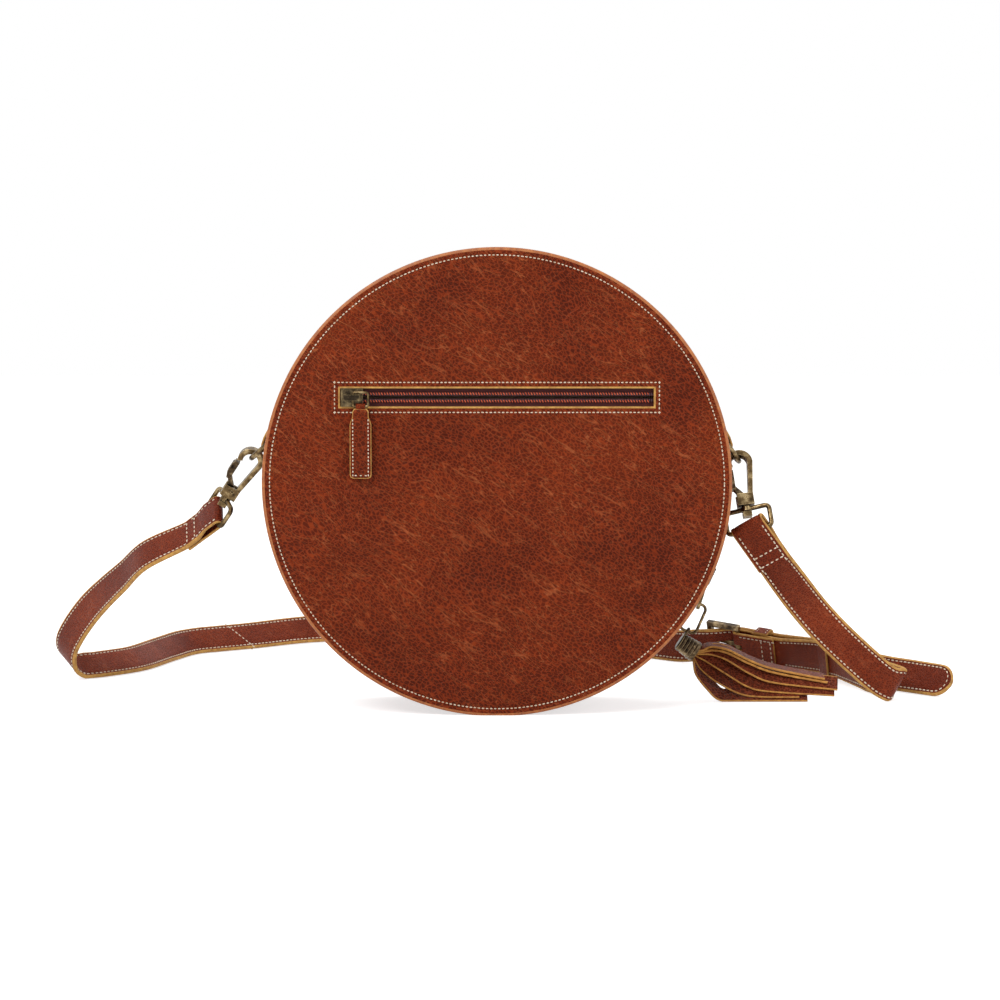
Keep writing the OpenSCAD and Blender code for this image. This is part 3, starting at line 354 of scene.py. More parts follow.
def addPiece(name, points, faces, looks, faceLooks=None, weave=None, sharp=38, shift=forward):
    mesh = bpy.data.meshes.new(name)
    mesh.from_pydata([(float(x) * mm, float(y + shift) * mm, float(z) * mm) for x, y, z in points], [], faces)
    for look in looks:
        mesh.materials.append(finishes[look])
    if faceLooks:
        mesh.polygons.foreach_set("material_index", faceLooks)
    if weave is not None:
        layer = mesh.uv_layers.new(name="weave")
        corners = np.empty(len(mesh.loops), np.int32)
        mesh.loops.foreach_get("vertex_index", corners)
        layer.data.foreach_set("uv", np.asarray(weave, np.float32)[corners].ravel())
    tidy = bmesh.new()
    tidy.from_mesh(mesh)
    bmesh.ops.recalc_face_normals(tidy, faces=tidy.faces)
    tidy.to_mesh(mesh)
    tidy.free()
    smoothShade(mesh, sharp)
    piece = bpy.data.objects.new(name, mesh)
    sceneNow.collection.objects.link(piece)
    return piece


def settle(piece, body, slot, *nodes):
    if body == "front fold":
        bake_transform(piece, "bag", "front", start=(0, 0.06175, 0.068), end=(0, 0.06175, 0.092))
    else:
        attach(piece, body)
    if nodes:
        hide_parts(*nodes)


def bakeModifiers(piece):
    ready = piece.evaluated_get(bpy.context.evaluated_depsgraph_get())
    mesh = bpy.data.meshes.new_from_object(ready)
    piece.modifiers.clear()
    piece.data = mesh


def cutAway(piece, cutter):
    change = piece.modifiers.new("cut", "BOOLEAN")
    change.operation = "DIFFERENCE"
    change.solver = "EXACT"
    change.material_mode = "TRANSFER"
    change.object = cutter
    bakeModifiers(piece)
    bpy.data.objects.remove(cutter)
    smoothShade(piece.data)


# Stitches, teeth and coil turns: one small shape, evenly spaced along paths whose points carry an outward way

smallShapes = {
    "stitch": {"size": (1.35, 0.66, 0.58), "pitch": 2.0, "loose": 0.06, "look": "panelThread"},
    "strapStitch": {"size": (1.75, 0.74, 0.62), "pitch": 2.5, "loose": 0.06, "look": "strapThread"},
    "shortStitch": {"size": (1.1, 0.58, 0.52), "pitch": 1.7, "loose": 0.06, "look": "strapThread"},
    "zipStitch": {"size": (1.55, 0.5, 0.6), "pitch": 5.0, "loose": 0.12, "look": "zipThread"},
    "coilTurn": {"size": (1.05, 2.1, 1.5), "pitch": 1.15, "loose": 0.0, "look": "coilNylon"},
    "tooth": {"size": (1.15, 2.45, 2.8), "pitch": 2.2, "loose": 0.0, "look": "zipBrass", "bevel": 0.28},
}
runInputs = {"Pitch": "Float", "Shape": "Object", "Finish": "Material", "Loose": "Float", "Seed": "Int"}


def makeRunTree():
    tree = bpy.data.node_groups.new("evenRun", "GeometryNodeTree")
    sockets = {}
    tree.interface.new_socket("Geometry", in_out="INPUT", socket_type="NodeSocketGeometry")
    for label, kind in runInputs.items():
        socket = tree.interface.new_socket(label, in_out="INPUT", socket_type="NodeSocket" + kind)
        sockets[label] = socket.identifier
    tree.interface.new_socket("Geometry", in_out="OUTPUT", socket_type="NodeSocketGeometry")
    given = addNode(tree, "NodeGroupInput").outputs
    line = addNode(tree, "GeometryNodeMeshToCurve", {"Mesh": given["Geometry"]}).outputs[0]
    spacing = {"Curve": line, "Length": given["Pitch"]}
    spaced = addNode(tree, "GeometryNodeCurveToPoints", spacing, mode="LENGTH").outputs
    outward = addNode(tree, "GeometryNodeInputNamedAttribute", {"Name": "out"}, data_type="FLOAT_VECTOR")
    ways = {"Primary Axis": outward.outputs["Attribute"], "Secondary Axis": spaced["Tangent"]}
    turn = addNode(tree, "FunctionNodeAxesToRotation", ways, primary_axis="Z", secondary_axis="X").outputs[0]
    least = mathOf(tree, "SUBTRACT", 1.0, given["Loose"])
    most = mathOf(tree, "ADD", 1.0, given["Loose"])
    spread = {2: least, 3: most, "Seed": given["Seed"]}
    size = addNode(tree, "FunctionNodeRandomValue", spread, data_type="FLOAT").outputs[1]
    shape = addNode(tree, "GeometryNodeObjectInfo", {"Object": given["Shape"]}).outputs["Geometry"]
    places = {"Points": spaced[0], "Instance": shape, "Rotation": turn, "Scale": size}
    placed = addNode(tree, "GeometryNodeInstanceOnPoints", places).outputs[0]
    real = addNode(tree, "GeometryNodeRealizeInstances", {0: placed}).outputs[0]
    done = addNode(tree, "GeometryNodeSetMaterial", {"Geometry": real, "Material": given["Finish"]}).outputs[0]
    addNode(tree, "NodeGroupOutput", {"Geometry": done})
    return tree, sockets


def ovalShape(name, length, width, height, look, around=6, along=5):
    points = [(-length / 2, 0, 0)]
    for k in range(1, along):
        a = math.pi * k / along
        x, full = -length / 2 * math.cos(a), math.sin(a) ** 0.7
        points += [(x, width / 2 * full * c, height / 2 * full * s) for c, s in turnsOf(around)]
    points.append((length / 2, 0, 0))
    last = len(points) - 1
    faces = fan(0, 1, around) + bridge(along - 1, around, 1) + fan(last, last - around, around)
    shape = addPiece(name, points, faces, [look], shift=0)
    sceneNow.collection.objects.unlink(shape)
    return shape


def bevelledBox(name, sizes, bevel, look):
    tidy = bmesh.new()
    bmesh.ops.create_cube(tidy, size=1)
    for v in tidy.verts:
        v.co = Vector([c * size * mm for c, size in zip(v.co, sizes)])
    bmesh.ops.bevel(tidy, geom=tidy.edges[:], offset=bevel * mm, segments=1, affect="EDGES", profile=0.6)
    mesh = bpy.data.meshes.new(name)
    tidy.to_mesh(mesh)
    tidy.free()
    mesh.materials.append(finishes[look])
    return bpy.data.objects.new(name, mesh)


runTree, runSockets = makeRunTree()
for name, small in smallShapes.items():
    if "bevel" in small:
        small["shape"] = bevelledBox(name + "Shape", small["size"], small["bevel"], small["look"])
    else:
        small["shape"] = ovalShape(name + "Shape", *small["size"], small["look"])


def addRun(name, paths, kind, body, slot, *nodes):
    small = smallShapes[kind]
    points, edges, ways = [], [], []
    for path in paths:
        first = len(points)
        for at, out in path:
            points.append((float(at[0]) * mm, float(at[1] + forward) * mm, float(at[2]) * mm))
            ways.append(tuple(float(c) for c in out))
        edges += [(first + k, first + k + 1) for k in range(len(path) - 1)]
    mesh = bpy.data.meshes.new(name)
    mesh.from_pydata(points, edges, [])
    outward = mesh.attributes.new("out", "FLOAT_VECTOR", "POINT")
    outward.data.foreach_set("vector", np.array(ways, np.float32).ravel())
    piece = bpy.data.objects.new(name, mesh)
    sceneNow.collection.objects.link(piece)
    change = piece.modifiers.new("evenRun", "NODES")
    change.node_group = runTree
    values = {"Pitch": small["pitch"] * mm, "Shape": small["shape"], "Finish": finishes[small["look"]],
              "Loose": small["loose"], "Seed": 4}
    for label, value in values.items():
        change[runSockets[label]] = value
    bakeModifiers(piece)
    piece.data.polygons.foreach_set("use_smooth", [True] * len(piece.data.polygons))
    for leftover in [layer for layer in piece.data.attributes if layer.name == "out"]:
        piece.data.attributes.remove(leftover)
    settle(piece, body, slot, *nodes)


# Bag body

bag = {"centre": 114.5, "radius": 115.0, "thick": 2.5, "half": 32.0, "wall": 113.0, "wallThick": 1.6,
       "inner": 111.4, "seamRadius": 106.0, "stitchRadius": 111.1, "stitchLift": 0.12, "grooveDepth": 0.24,
       "turns": 288, "bend": 80.0, "paintedFrom": 113.4, "back": -29.5, "front": 29.5}
panel = {"ringStep": 5.0, "flatRings": 20, "insideRings": (108, 90, 60, 30), "pucker": 0.07, "puckers": 212,
         "puckered": (110, 112), "outsideTo": 1.0}
swell = {"height": 0.85, "noises": ((62, 7.3, 0.75), (23, 3.1, 0.3)), "base": 0.25, "fade": (96, 110),
         "windowFade": (1, 16), "outsideTo": 2.45}
wobbleNoise = {"along": 9, "across": 16, "seed": 2.0}
rimShape = [  # radius and depth, across the sewn groove and round the painted edge
    (103.5, 0), (107, 0), (109.2, 0.04), (110.2, 0.22), (110.8, 0.42), (111.3, 0.45), (112.0, 0.24),
    (112.9, 0.1), (113.5, 0.14), (114.2, 0.22), (114.8, 0.6), (115.0, 1.2), (114.85, 1.9), (114.2, 2.4),
    (113.4, 2.5)]
pocket = {"up": 42.0, "width": 154.0, "height": 10.0, "corner": 1.25, "tapeOut": 6.0, "tapeGap": 0.6,
          "tapeReach": 11.0, "tapeThick": 0.8, "stitchOut": (79.1, 7.3), "coilReach": 76.6, "coilUp": 1.42,
          "coilOut": 1.0, "rowReach": 75.6, "rowPitch": 1.35, "rowUp": 1.8, "rowTilt": 0.9, "rowRun": 0.5,
          "rowOut": 1.72}
zipRow = {"y": 18.5, "tape": 11.0, "tapeThick": 0.8, "edge": 2.5, "start": -31.0, "end": 211.0, "stop": 3.043,
          "toothRadius": 111.0, "toothOut": 1.28, "foldGap": 0.3, "frontGap": 0.4}
pocketZ = bag["centre"] + pocket["up"]
zipArc = (zipRow["start"], zipRow["end"])


def smoothStep(low, high, x):
    s = min(1.0, max(0.0, (x - low) / (high - low)))
    return s * s * (3 - 2 * s)


def panelSwell(x, z, r, side):
    lift = sum(share * noise.noise(Vector((x / size, seed * side, z / size)))
               for size, seed, share in swell["noises"])
    lift = swell["height"] * (lift + swell["base"]) * (1 - smoothStep(*swell["fade"], r))
    if side < 0:
        away = max(abs(x) - pocket["width"] / 2, 0) + max(abs(z - pocketZ) - pocket["height"] / 2, 0)
        lift *= smoothStep(*swell["windowFade"], away)
    return lift


def addPanel(name, side):
    rings = [(panel["ringStep"] * (k + 1), 0.0) for k in range(panel["flatRings"])] + rimShape
    rings += [(r, bag["thick"]) for r in panel["insideRings"]]
    turns = bag["turns"]

    def at(r, depth, a):
        x, z = r * math.cos(a), bag["centre"] + r * math.sin(a)
        lift = panelSwell(x, z, r, side) if depth < swell["outsideTo"] else 0
        sewn = panel["puckered"][0] < r < panel["puckered"][1] and depth < panel["outsideTo"]
        pucker = panel["pucker"] * math.cos(a * panel["puckers"]) if sewn else 0
        return (x, side * (bag["half"] - depth - pucker + lift), max(z, 0.0))

    points = [at(0, 0, 0)]
    for r, depth in rings:
        points += [at(r, depth, 2 * math.pi * k / turns) for k in range(turns)]
    points.append(at(0, bag["thick"], 0))
    last = len(points) - 1
    faces = fan(0, 1, turns) + bridge(len(rings), turns, 1) + fan(last, last - turns, turns)
    looks = [0] * turns
    for ring, nextRing in zip(rings, rings[1:]):
        looks += [1 if min(ring[0], nextRing[0]) >= bag["paintedFrom"] else 0] * turns
    return addPiece(name, points, faces, ["panelLeather", "rimEdge", "rawEdge"], looks + [0] * turns)


def roundedOutline(x1, x2, z1, z2, corner):
    outline = []
    for cx, cz, start in ((x2 - corner, z2 - corner, 0), (x1 + corner, z2 - corner, 90),
                          (x1 + corner, z1 + corner, 180), (x2 - corner, z1 + corner, 270)):
        for t in (0, 22.5, 45, 67.5, 90):
            c, s = cosSin(start + t)
            outline.append((cx + corner * c, cz + corner * s, c, s))
    return outline


def slabPiece(name, low, high, look, corner):
    outline = roundedOutline(low[0], high[0], low[2], high[2], corner)
    points = [(x, y, z) for y in (low[1], high[1]) for x, z, _, _ in outline]
    n = len(outline)
    return addPiece(name, points, endFaces(2, n) + bridge(2, n), [look])


fourCorners = ((-1, -1), (1, -1), (1, 1), (-1, 1))
halfWide, halfHigh = pocket["width"] / 2, pocket["height"] / 2
backPanel = addPanel("backPanel", -1)
cutAway(backPanel, slabPiece("windowCutter", (-halfWide, -bag["half"] - 4, pocketZ - halfHigh),
                             (halfWide, -bag["half"] + 6, pocketZ + halfHigh), "rawEdge", pocket["corner"]))
settle(backPanel, "bag", "leather", "back_panel")
settle(addPanel("frontPanel", 1), "front fold", "leather", "front_base", "front_panel")
print("panels made")


def sweepBand(name, profile, arc, looks, profileLooks=None, step=1.5, weave=False, wobble=0.0):
    start, end = arc
    count = max(2, math.ceil((end - start) / step))
    n = len(profile)
    points, flat = [], []
    across = np.cumsum([0] + [math.dist(profile[j], profile[j + 1]) for j in range(n - 1)])
    for k in range(count + 1):
        a = math.radians(start + (end - start) * k / count)
        for j, (r, y) in enumerate(profile):
            spot = Vector((a * wobbleNoise["along"], y / wobbleNoise["across"], wobbleNoise["seed"]))
            r += wobble * noise.noise(spot)
            points.append((r * math.cos(a), y, max(bag["centre"] + r * math.sin(a), 0.0)))
            flat.append((a * bag["wall"], across[j]))
    faceLooks = (profileLooks or [0] * n) * count + [0, 0]
    faces = bridge(count + 1, n) + endFaces(count + 1, n)
    return addPiece(name, points, faces, looks, faceLooks, flat if weave else None)


edgeTurn = ((0.0, 0.5), (0.25, 0.1), (0.8, 0.0))  # how far in and how far back a painted edge's points lie


def gussetProfile(y1, y2, sewnBack, sewnFront):
    wall, inner, seam, thick = bag["wall"], bag["inner"], bag["seamRadius"], bag["wallThick"]
    outside = [(wall, y1 + (y2 - y1) * k / 8) for k in range(9)]
    looks = [0] * 8
    if not sewnFront:
        outside = outside[:-1] + [(wall - inward, y2 - back) for inward, back in edgeTurn]
        looks += [0, 1]
    if not sewnBack:
        outside = [(wall - inward, y1 + back) for inward, back in edgeTurn[::-1]] + outside[1:]
        looks = [1, 0] + looks
    inside = [(seam, y2), (seam, y2 - thick), (inner, y2 - thick)] if sewnFront else [(inner, y2)]
    inside += [(inner, y1 + thick), (seam, y1 + thick), (seam, y1)] if sewnBack else [(inner, y1)]
    profile = outside + inside
    return profile, looks + [0] * (len(profile) - len(looks))


def addGusset(name, y1, y2, sewn, arc, wobble, body, *nodes):
    profile, looks = gussetProfile(y1, y2, *sewn)
    band = sweepBand(name, profile, arc, ["sideLeather", "rimEdge"], looks, wobble=wobble)
    settle(band, body, "leather", *nodes)


baseArc = (zipArc[1], 360 + zipArc[0])
back, front, zipBack, zipFront = bag["back"], bag["front"], 13.5, 23.5
addGusset("backGusset", back, zipBack, (True, False), zipArc, 0.12, "bag", "back_gusset")
addGusset("baseGusset", back, front, (True, True), baseArc, 0.12, "bag", "base_gusset")
addGusset("frontGusset", zipFront, front, (False, True), zipArc, 0.05, "front fold", "front_gusset",
          "front_base_strips")


# Cloth inside the bag

lining = {"radius": 105.7, "thick": 0.8, "back": -26.2, "gap": 0.05, "zipGap": 0.3, "endGap": 0.8,
          "shares": (0.15, 0.3, 0.45, 0.6, 0.72, 0.84, 0.93, 1), "turns": 144, "rippleSize": 30,
          "rippleSeed": 5.0, "fade": (90, 104)}
clothInner = bag["inner"] - lining["gap"]
pocketCloth = {"side": 83.0, "back": -28.65, "thick": 1.5, "low": 87.0, "high": 5.2, "corner": 6.0}


def addClothDisc(name, y1, ripple, body, node):
    turns, size = lining["turns"], lining["rippleSize"]
    points, flat = [], []
    rings = [lining["radius"] * share for share in lining["shares"]]
    for y in (y1, y1 + lining["thick"]):
        points.append((0, y, bag["centre"]))
        flat.append((0, 0))
        for r in rings:
            for c, s in turnsOf(turns):
                x, z = r * c, r * s
                wave = ripple * noise.noise(Vector((x / size, lining["rippleSeed"], z / size)))
                wave *= 1 - smoothStep(*lining["fade"], r)
                points.append((x, y + wave, bag["centre"] + z))
                flat.append((x, z))
    block = 1 + len(rings) * turns
    faces = []
    for base in (0, block):
        faces += fan(base, base + 1, turns) + bridge(len(rings), turns, base + 1)
    rim = block - turns
    for k in range(turns):
        after = rim + (k + 1) % turns
        faces.append((rim + k, rim + block + k, after + block, after))
    settle(addPiece(name, points, faces, ["liningWeave"], None, flat), body, "lining", node)


def bandProfile(outer, thick, y1, y2):
    return [(outer, y1), (outer, y2), (outer - thick, y2), (outer - thick, y1)]


addClothDisc("backLining", lining["back"], 0.25, "bag", "lining")
clothBack, clothFront = bag["back"] + bag["wallThick"], bag["front"] - bag["wallThick"]
sideEnd = zipRow["y"] - zipRow["tape"] - lining["zipGap"]
sideProfile = bandProfile(clothInner, lining["thick"], clothBack, sideEnd)
settle(sweepBand("sideLining", sideProfile, zipArc, ["liningWeave"], weave=True), "bag", "lining")
baseProfile = bandProfile(clothInner, lining["thick"], clothBack, clothFront)
clothArc = (baseArc[0] + lining["endGap"], baseArc[1] - lining["endGap"])
settle(sweepBand("baseLining", baseProfile, clothArc, ["liningWeave"], weave=True), "bag", "lining")
addClothDisc("frontLining", bag["front"] - lining["thick"], 0.0, "front fold", "front_lining")
lowCorner = (-pocketCloth["side"], pocketCloth["back"], pocketZ - pocketCloth["low"])
highCorner = (pocketCloth["side"], pocketCloth["back"] + pocketCloth["thick"], pocketZ - pocketCloth["high"])
pocketBag = slabPiece("pocketCloth", lowCorner, highCorner, "liningWeave", pocketCloth["corner"])
pocketBag.data.uv_layers.new(name="weave")
settle(pocketBag, "bag", "lining", "pocket_bag")
print("gussets and cloth made")


# Main zip

tapeStart, tapeEnd = zipRow["y"] - zipRow["tape"], zipRow["y"] - zipRow["edge"]
backTape = bandProfile(bag["inner"], zipRow["tapeThick"], tapeStart, tapeEnd)
settle(sweepBand("zipTapeBack", backTape, zipArc, ["zipTape"], weave=True), "bag", "zip_tape", "zip_tape_back")
frontTape = bandProfile(bag["inner"], zipRow["tapeThick"], zipRow["y"] + zipRow["edge"], clothFront)
tapePiece = sweepBand("zipTapeFront", frontTape, zipArc, ["zipTape"], weave=True)
settle(tapePiece, "front fold", "zip_tape", "zip_tape_front", "zip_ends_tape")


def arcPath(radius, y, start, end, out=None, step=1.0):
    count = max(2, math.ceil((end - start) / step))
    path = []
    for k in range(count + 1):
        a = math.radians(start + (end - start) * k / count)
        way = (math.cos(a), 0, math.sin(a))
        path.append(((radius * way[0], y, max(bag["centre"] + radius * way[2], 0.3)), out or way))
    return path


def toothArc(side, start, end):
    return arcPath(zipRow["toothRadius"], zipRow["y"] + side * zipRow["toothOut"], start, end)


bendAngle = math.degrees(math.asin((bag["bend"] - bag["centre"]) / zipRow["toothRadius"]))
first, last = zipArc[0] + zipRow["stop"], zipArc[1] - zipRow["stop"]
halfPitch = math.degrees(smallShapes["tooth"]["pitch"] / 2 / zipRow["toothRadius"])
endArcs = [toothArc(1, first + halfPitch, bendAngle - zipRow["foldGap"]),
           toothArc(1, 180 - bendAngle + zipRow["foldGap"], last)]
frontArc = toothArc(1, bendAngle + zipRow["frontGap"], 180 - bendAngle - zipRow["frontGap"])
addRun("zipTeethBack", [toothArc(-1, first, last)], "tooth", "bag", "zip_metal", "zip_teeth_back")
addRun("zipTeethEnds", endArcs, "tooth", "front fold", "zip_metal", "zip_ends_teeth")
addRun("zipTeethFront", [frontArc], "tooth", "front fold", "zip_metal", "zip_teeth_front")
print("main zip made")


# Back pocket: woven tapes in the window, coil turns, orange thread beside them, raw edge round the window

def addTapeStrip(name, z1, z2):
    side = pocket["width"] / 2 + pocket["tapeOut"]
    columns, rows = 60, 4
    points, flat = [], []
    for y in (bag["back"], bag["back"] + pocket["tapeThick"]):
        for k in range(columns + 1):
            flat += [(-side + 2 * side * k / columns, z1 + (z2 - z1) * j / rows) for j in range(rows + 1)]
        points += [(x, y, z) for x, z in flat[-(columns + 1) * (rows + 1):]]
    block = (columns + 1) * (rows + 1)
    faces = []
    for base in (0, block):
        for k in range(columns):
            corners = [base + k * (rows + 1) + j for j in range(rows)]
            faces += [(a, a + rows + 1, a + rows + 2, a + 1) for a in corners]
    border = [k * (rows + 1) for k in range(columns + 1)]
    border += [columns * (rows + 1) + j for j in range(1, rows + 1)]
    border += [k * (rows + 1) + rows for k in range(columns - 1, -1, -1)] + list(range(rows - 1, 0, -1))
    faces += [(a, b, b + block, a + block) for a, b in zip(border, border[1:] + border[:1])]
    settle(addPiece(name, points, faces, ["zipTape"], None, flat), "bag", "zip_tape", "pocket_tape")


addTapeStrip("pocketTapeUpper", pocketZ + pocket["tapeGap"], pocketZ + pocket["tapeReach"])
addTapeStrip("pocketTapeLower", pocketZ - pocket["tapeReach"], pocketZ - pocket["tapeGap"])
backward = (0, -1, 0)
coilRows = [[((x, bag["back"] - pocket["coilOut"], pocketZ + side * pocket["coilUp"]), backward)
             for x in (-pocket["coilReach"], 0, pocket["coilReach"])] for side in (-1, 1)]
addRun("pocketCoil", coilRows, "coilTurn", "bag", "coil", "pocket_coil")
aslantRows = []
for side in (-1, 1):
    for k in range(math.floor(2 * pocket["rowReach"] / pocket["rowPitch"])):
        x, y = -pocket["rowReach"] + (k + 0.5) * pocket["rowPitch"], bag["back"] - pocket["rowOut"]
        z = pocketZ + side * pocket["rowUp"]
        lowEnd = (x + pocket["rowRun"], y, z - pocket["rowTilt"])
        aslantRows.append([((x, y, z), backward), (lowEnd, backward)])
addRun("pocketCoilThread", aslantRows, "zipStitch", "bag", "zip_tape")


def addWindowEdge(over=0.3):
    points = []
    for inset, proud in ((0.0, -0.5), (0.0, 0.14), (0.25, 0.24), (0.8, 0.1), (0.95, -0.5)):
        wide, high = halfWide + over - inset, halfHigh + over - inset
        points += [(a * wide, -bag["half"] - proud, pocketZ + b * high) for a, b in fourCorners]
    settle(addPiece("pocketEdge", points, bridge(5, 4, closed=True), ["rawEdge"]), "bag", "leather")


addWindowEdge()
sewnWide, sewnHigh = pocket["stitchOut"]
frameLine = [((a * sewnWide, -bag["half"] - bag["stitchLift"], pocketZ + b * sewnHigh), backward)
             for a, b in fourCorners + fourCorners[:1]]
addRun("pocketStitches", [frameLine[k:k + 2] for k in range(4)], "stitch", "bag", "leather")
for name, side, body in (("backRimStitches", -1, "bag"), ("frontRimStitches", 1, "front fold")):
    rim = arcPath(bag["stitchRadius"], side * (bag["half"] - bag["grooveDepth"]), 0, 359.4, (0, side, 0))
    addRun(name, [rim], "stitch", body, "leather")
for name, y, body in (("backEdgeStitches", 11.0, "bag"), ("frontEdgeStitches", 25.8, "front fold")):
    row = arcPath(bag["wall"] + bag["stitchLift"], y, zipArc[0] + 1, zipArc[1] - 1)
    addRun(name, [row], "stitch", body, "leather")
print("pocket and seams made")


# Leather strips of a width and a thickness, skinned through sections

def smoothRows(rows, steps):
    rows = np.asarray(rows, float)
    n, out = len(rows), []
    for i in range(n - 1):
        p0, p1, p2, p3 = rows[max(i - 1, 0)], rows[i], rows[i + 1], rows[min(i + 2, n - 1)]
        for k in range(steps):
            s = k / steps
            out.append(0.5 * (2 * p1 + (p2 - p0) * s + (2 * p0 - 5 * p1 + 4 * p2 - p3) * s * s
                              + (3 * p1 - p0 - 3 * p2 + p3) * s ** 3))
    return np.array(out + [rows[-1]])


def sectionsOf(rows, width, thick, steps, widths=None):
    curve = smoothRows(rows, steps)
    points = curve[:, :3]
    ways = np.vstack([points[1:2] - points[:1], points[2:] - points[:-2], points[-1:] - points[-2:-1]])
    sections = []
    for k, (at, up, way) in enumerate(zip(points, curve[:, 3:], ways)):
        way = unit(way)
        up = unit(up - way * up.dot(way))
        side = np.cross(way, up)
        w = width if widths is None else width * np.interp(k / steps, range(len(widths)), widths)
        reach = abs(up[2]) * w / 2 + abs(side[2]) * thick / 2  # keeps the lower edge on the floor
        at = np.array([at[0], at[1], max(at[2], reach)])
        sections.append({"at": at, "up": up, "side": side, "width": w, "thick": thick})
    return sections


def stripProfile(w, t, inset, dip):
    half, h, k = w / 2, t / 2, min(1.0, w / 14)
    r = min(h, half * 0.6)
    if inset:  # a groove for the seam, and a slight crown between the two seams
        upper = [(half - r, h), (half - (inset - 0.6) * k, h), (half - inset * k, h - dip * k),
                 (half - (inset + 0.6) * k, h - 0.02), (half * 0.42, h + 0.05), (0.0, h + 0.07)]
    else:
        upper = [(half - r, h)] + [(half * share, h) for share in (0.8, 0.6, 0.4, 0.2, 0.0)]
    upper += [(-u, v) for u, v in upper[-2::-1]]
    lower = [(-u, -v) for u, v in upper]
    arc = [(half - r + r * s, h * c) for c, s in map(cosSin, (145, 115, 90, 65, 35))]
    left = [(-u, v) for u, v in arc[::-1]]
    return upper + left + lower + arc, len(upper), len(arc)


def skinSections(name, sections, looks, inset=2.2, dip=0.26):
    points = []
    for s in sections:
        ring, faceCount, edgeCount = stripProfile(s["width"], s["thick"], inset, dip)
        points += [s["at"] + u * s["up"] + v * s["side"] for u, v in ring]
    n = len(ring)
    edges = set(range(faceCount - 1, faceCount + edgeCount)) | set(range(2 * faceCount + edgeCount - 1, n))
    faceLooks = [1 if j in edges else 0 for j in range(n)] * (len(sections) - 1) + [1, 1]
    faces = bridge(len(sections), n) + endFaces(len(sections), n)
    return addPiece(name, points, faces, looks, faceLooks)


# Strap; a row is a place on the middle line and the way of the strap's width

strap = {"width": 18.0, "thick": 2.4, "foldThick": 1.4, "fold": 17.0, "sewn": 9.0, "steps": 8, "inset": 2.2,
         "barGap": 0.15, "lift": 0.06, "sink": 0.12, "hole": 1.7, "splice": ((-156.0, 201.5), (-147.0, 208.1))}
straight = strap["fold"] + strap["sewn"]
leftUp, rightUp = (-0.098, 0.725, 0.682), (0.793, -0.345, 0.503)
heelUp, runUp = (-0.151, -0.352, 0.924), (-0.104, -0.04, 0.994)
longRows = [
    (-151.71, 12.65, 89.28, *leftUp), (-158.05, 16.22, 84.57, *leftUp),
    (-180.32, 24.38, 73.6, -0.1, 0.62, 0.77), (-194.12, 40.02, 61.18, -0.16, 0.55, 0.82),
    (-205.39, 52.44, 51.29, -0.26, 0.48, 0.84), (-215.97, 63.94, 40.94, -0.42, 0.44, 0.79),
    (-224.94, 72.91, 29.67, -0.55, 0.47, 0.69), (-230.69, 79.35, 19.55, -0.62, 0.49, 0.6),
    (-230.92, 84.64, 11.5, -0.62, 0.49, 0.6), (-226.55, 90.16, 7.13, -0.62, 0.47, 0.62),
    (-216.2, 97.75, 6.44, -0.64, 0.42, 0.64), (-199.64, 119.6, 6.44, -0.7, 0.3, 0.64),
    (-188.37, 156.4, 6.44, -0.68, 0.32, 0.66), (-178.02, 184, 6.9, -0.55, 0.45, 0.7),
    (-163.53, 196.19, 7.36, -0.4, 0.55, 0.73), (-146.97, 208.15, 7.36, -0.42, 0.53, 0.74),
    (-114.31, 232.99, 8.05, -0.36, 0.5, 0.79), (-78.2, 246.1, 8.05, -0.1, 0.5, 0.84),
    (-32.2, 253, 8.05, 0, 0.45, 0.88), (16.1, 234.6, 8.05, 0.05, 0.55, 0.83),
    (62.1, 193.2, 8.28, 0.05, 0.5, 0.86), (92, 163.3, 8.74, 0, 0.4, 0.91),
    (106.26, 149.96, 9.43, 0, 0.2, 0.97), (119.22, 142.15, 12.14, *heelUp),
    (130.24, 140.02, 13.13, *heelUp), (137.82, 138.23, 13.68, *heelUp), (144.82, 133.46, 13.01, *heelUp),
    (157.43, 124.88, 11.8, *heelUp), (161.55, 122.07, 11.41, *heelUp), (177.87, 101.57, 11.06, *runUp),
    (180.06, 95.82, 11.06, *runUp), (182.24, 90.07, 11.06, *runUp), (184.43, 84.32, 11.06, *runUp),
    (186.61, 78.57, 11.06, *runUp), (200.56, 57.5, 8.74, 0.05, 0.4, 0.92),
    (214.13, 43.7, 8.28, 0.14, 0.5, 0.86), (227.47, 29.44, 8.05, 0.2, 0.55, 0.81)]
shortRows = [
    (132.42, -20.3, 81.15, *rightUp), (137.42, -18.91, 74.22, *rightUp),
    (155.48, -4.6, 51.06, 0.72, 0, 0.66), (169.28, 1.38, 35.88, 0.7, 0, 0.7),
    (185.15, 6.9, 20.93, 0.68, 0.02, 0.73), (196.19, 9.66, 11.5, 0.6, 0.1, 0.77),
    (203.32, 12.88, 7.82, 0.54, 0.22, 0.8), (204.24, 19.55, 7.82, 0.4, 0.25, 0.88),
    (199.18, 32.2, 7.82, 0.2, 0.25, 0.94), (191.82, 50.6, 9.66, 0.05, 0.2, 0.97),
    (182.62, 77.05, 10.58, *runUp), (180.44, 82.8, 10.58, *runUp), (178.25, 88.55, 10.58, *runUp),
    (176.07, 94.3, 10.58, *runUp), (173.88, 100.05, 10.58, *runUp), (159.2, 118.85, 9.8, *heelUp),
    (154.92, 121.77, 10.21, *heelUp)]
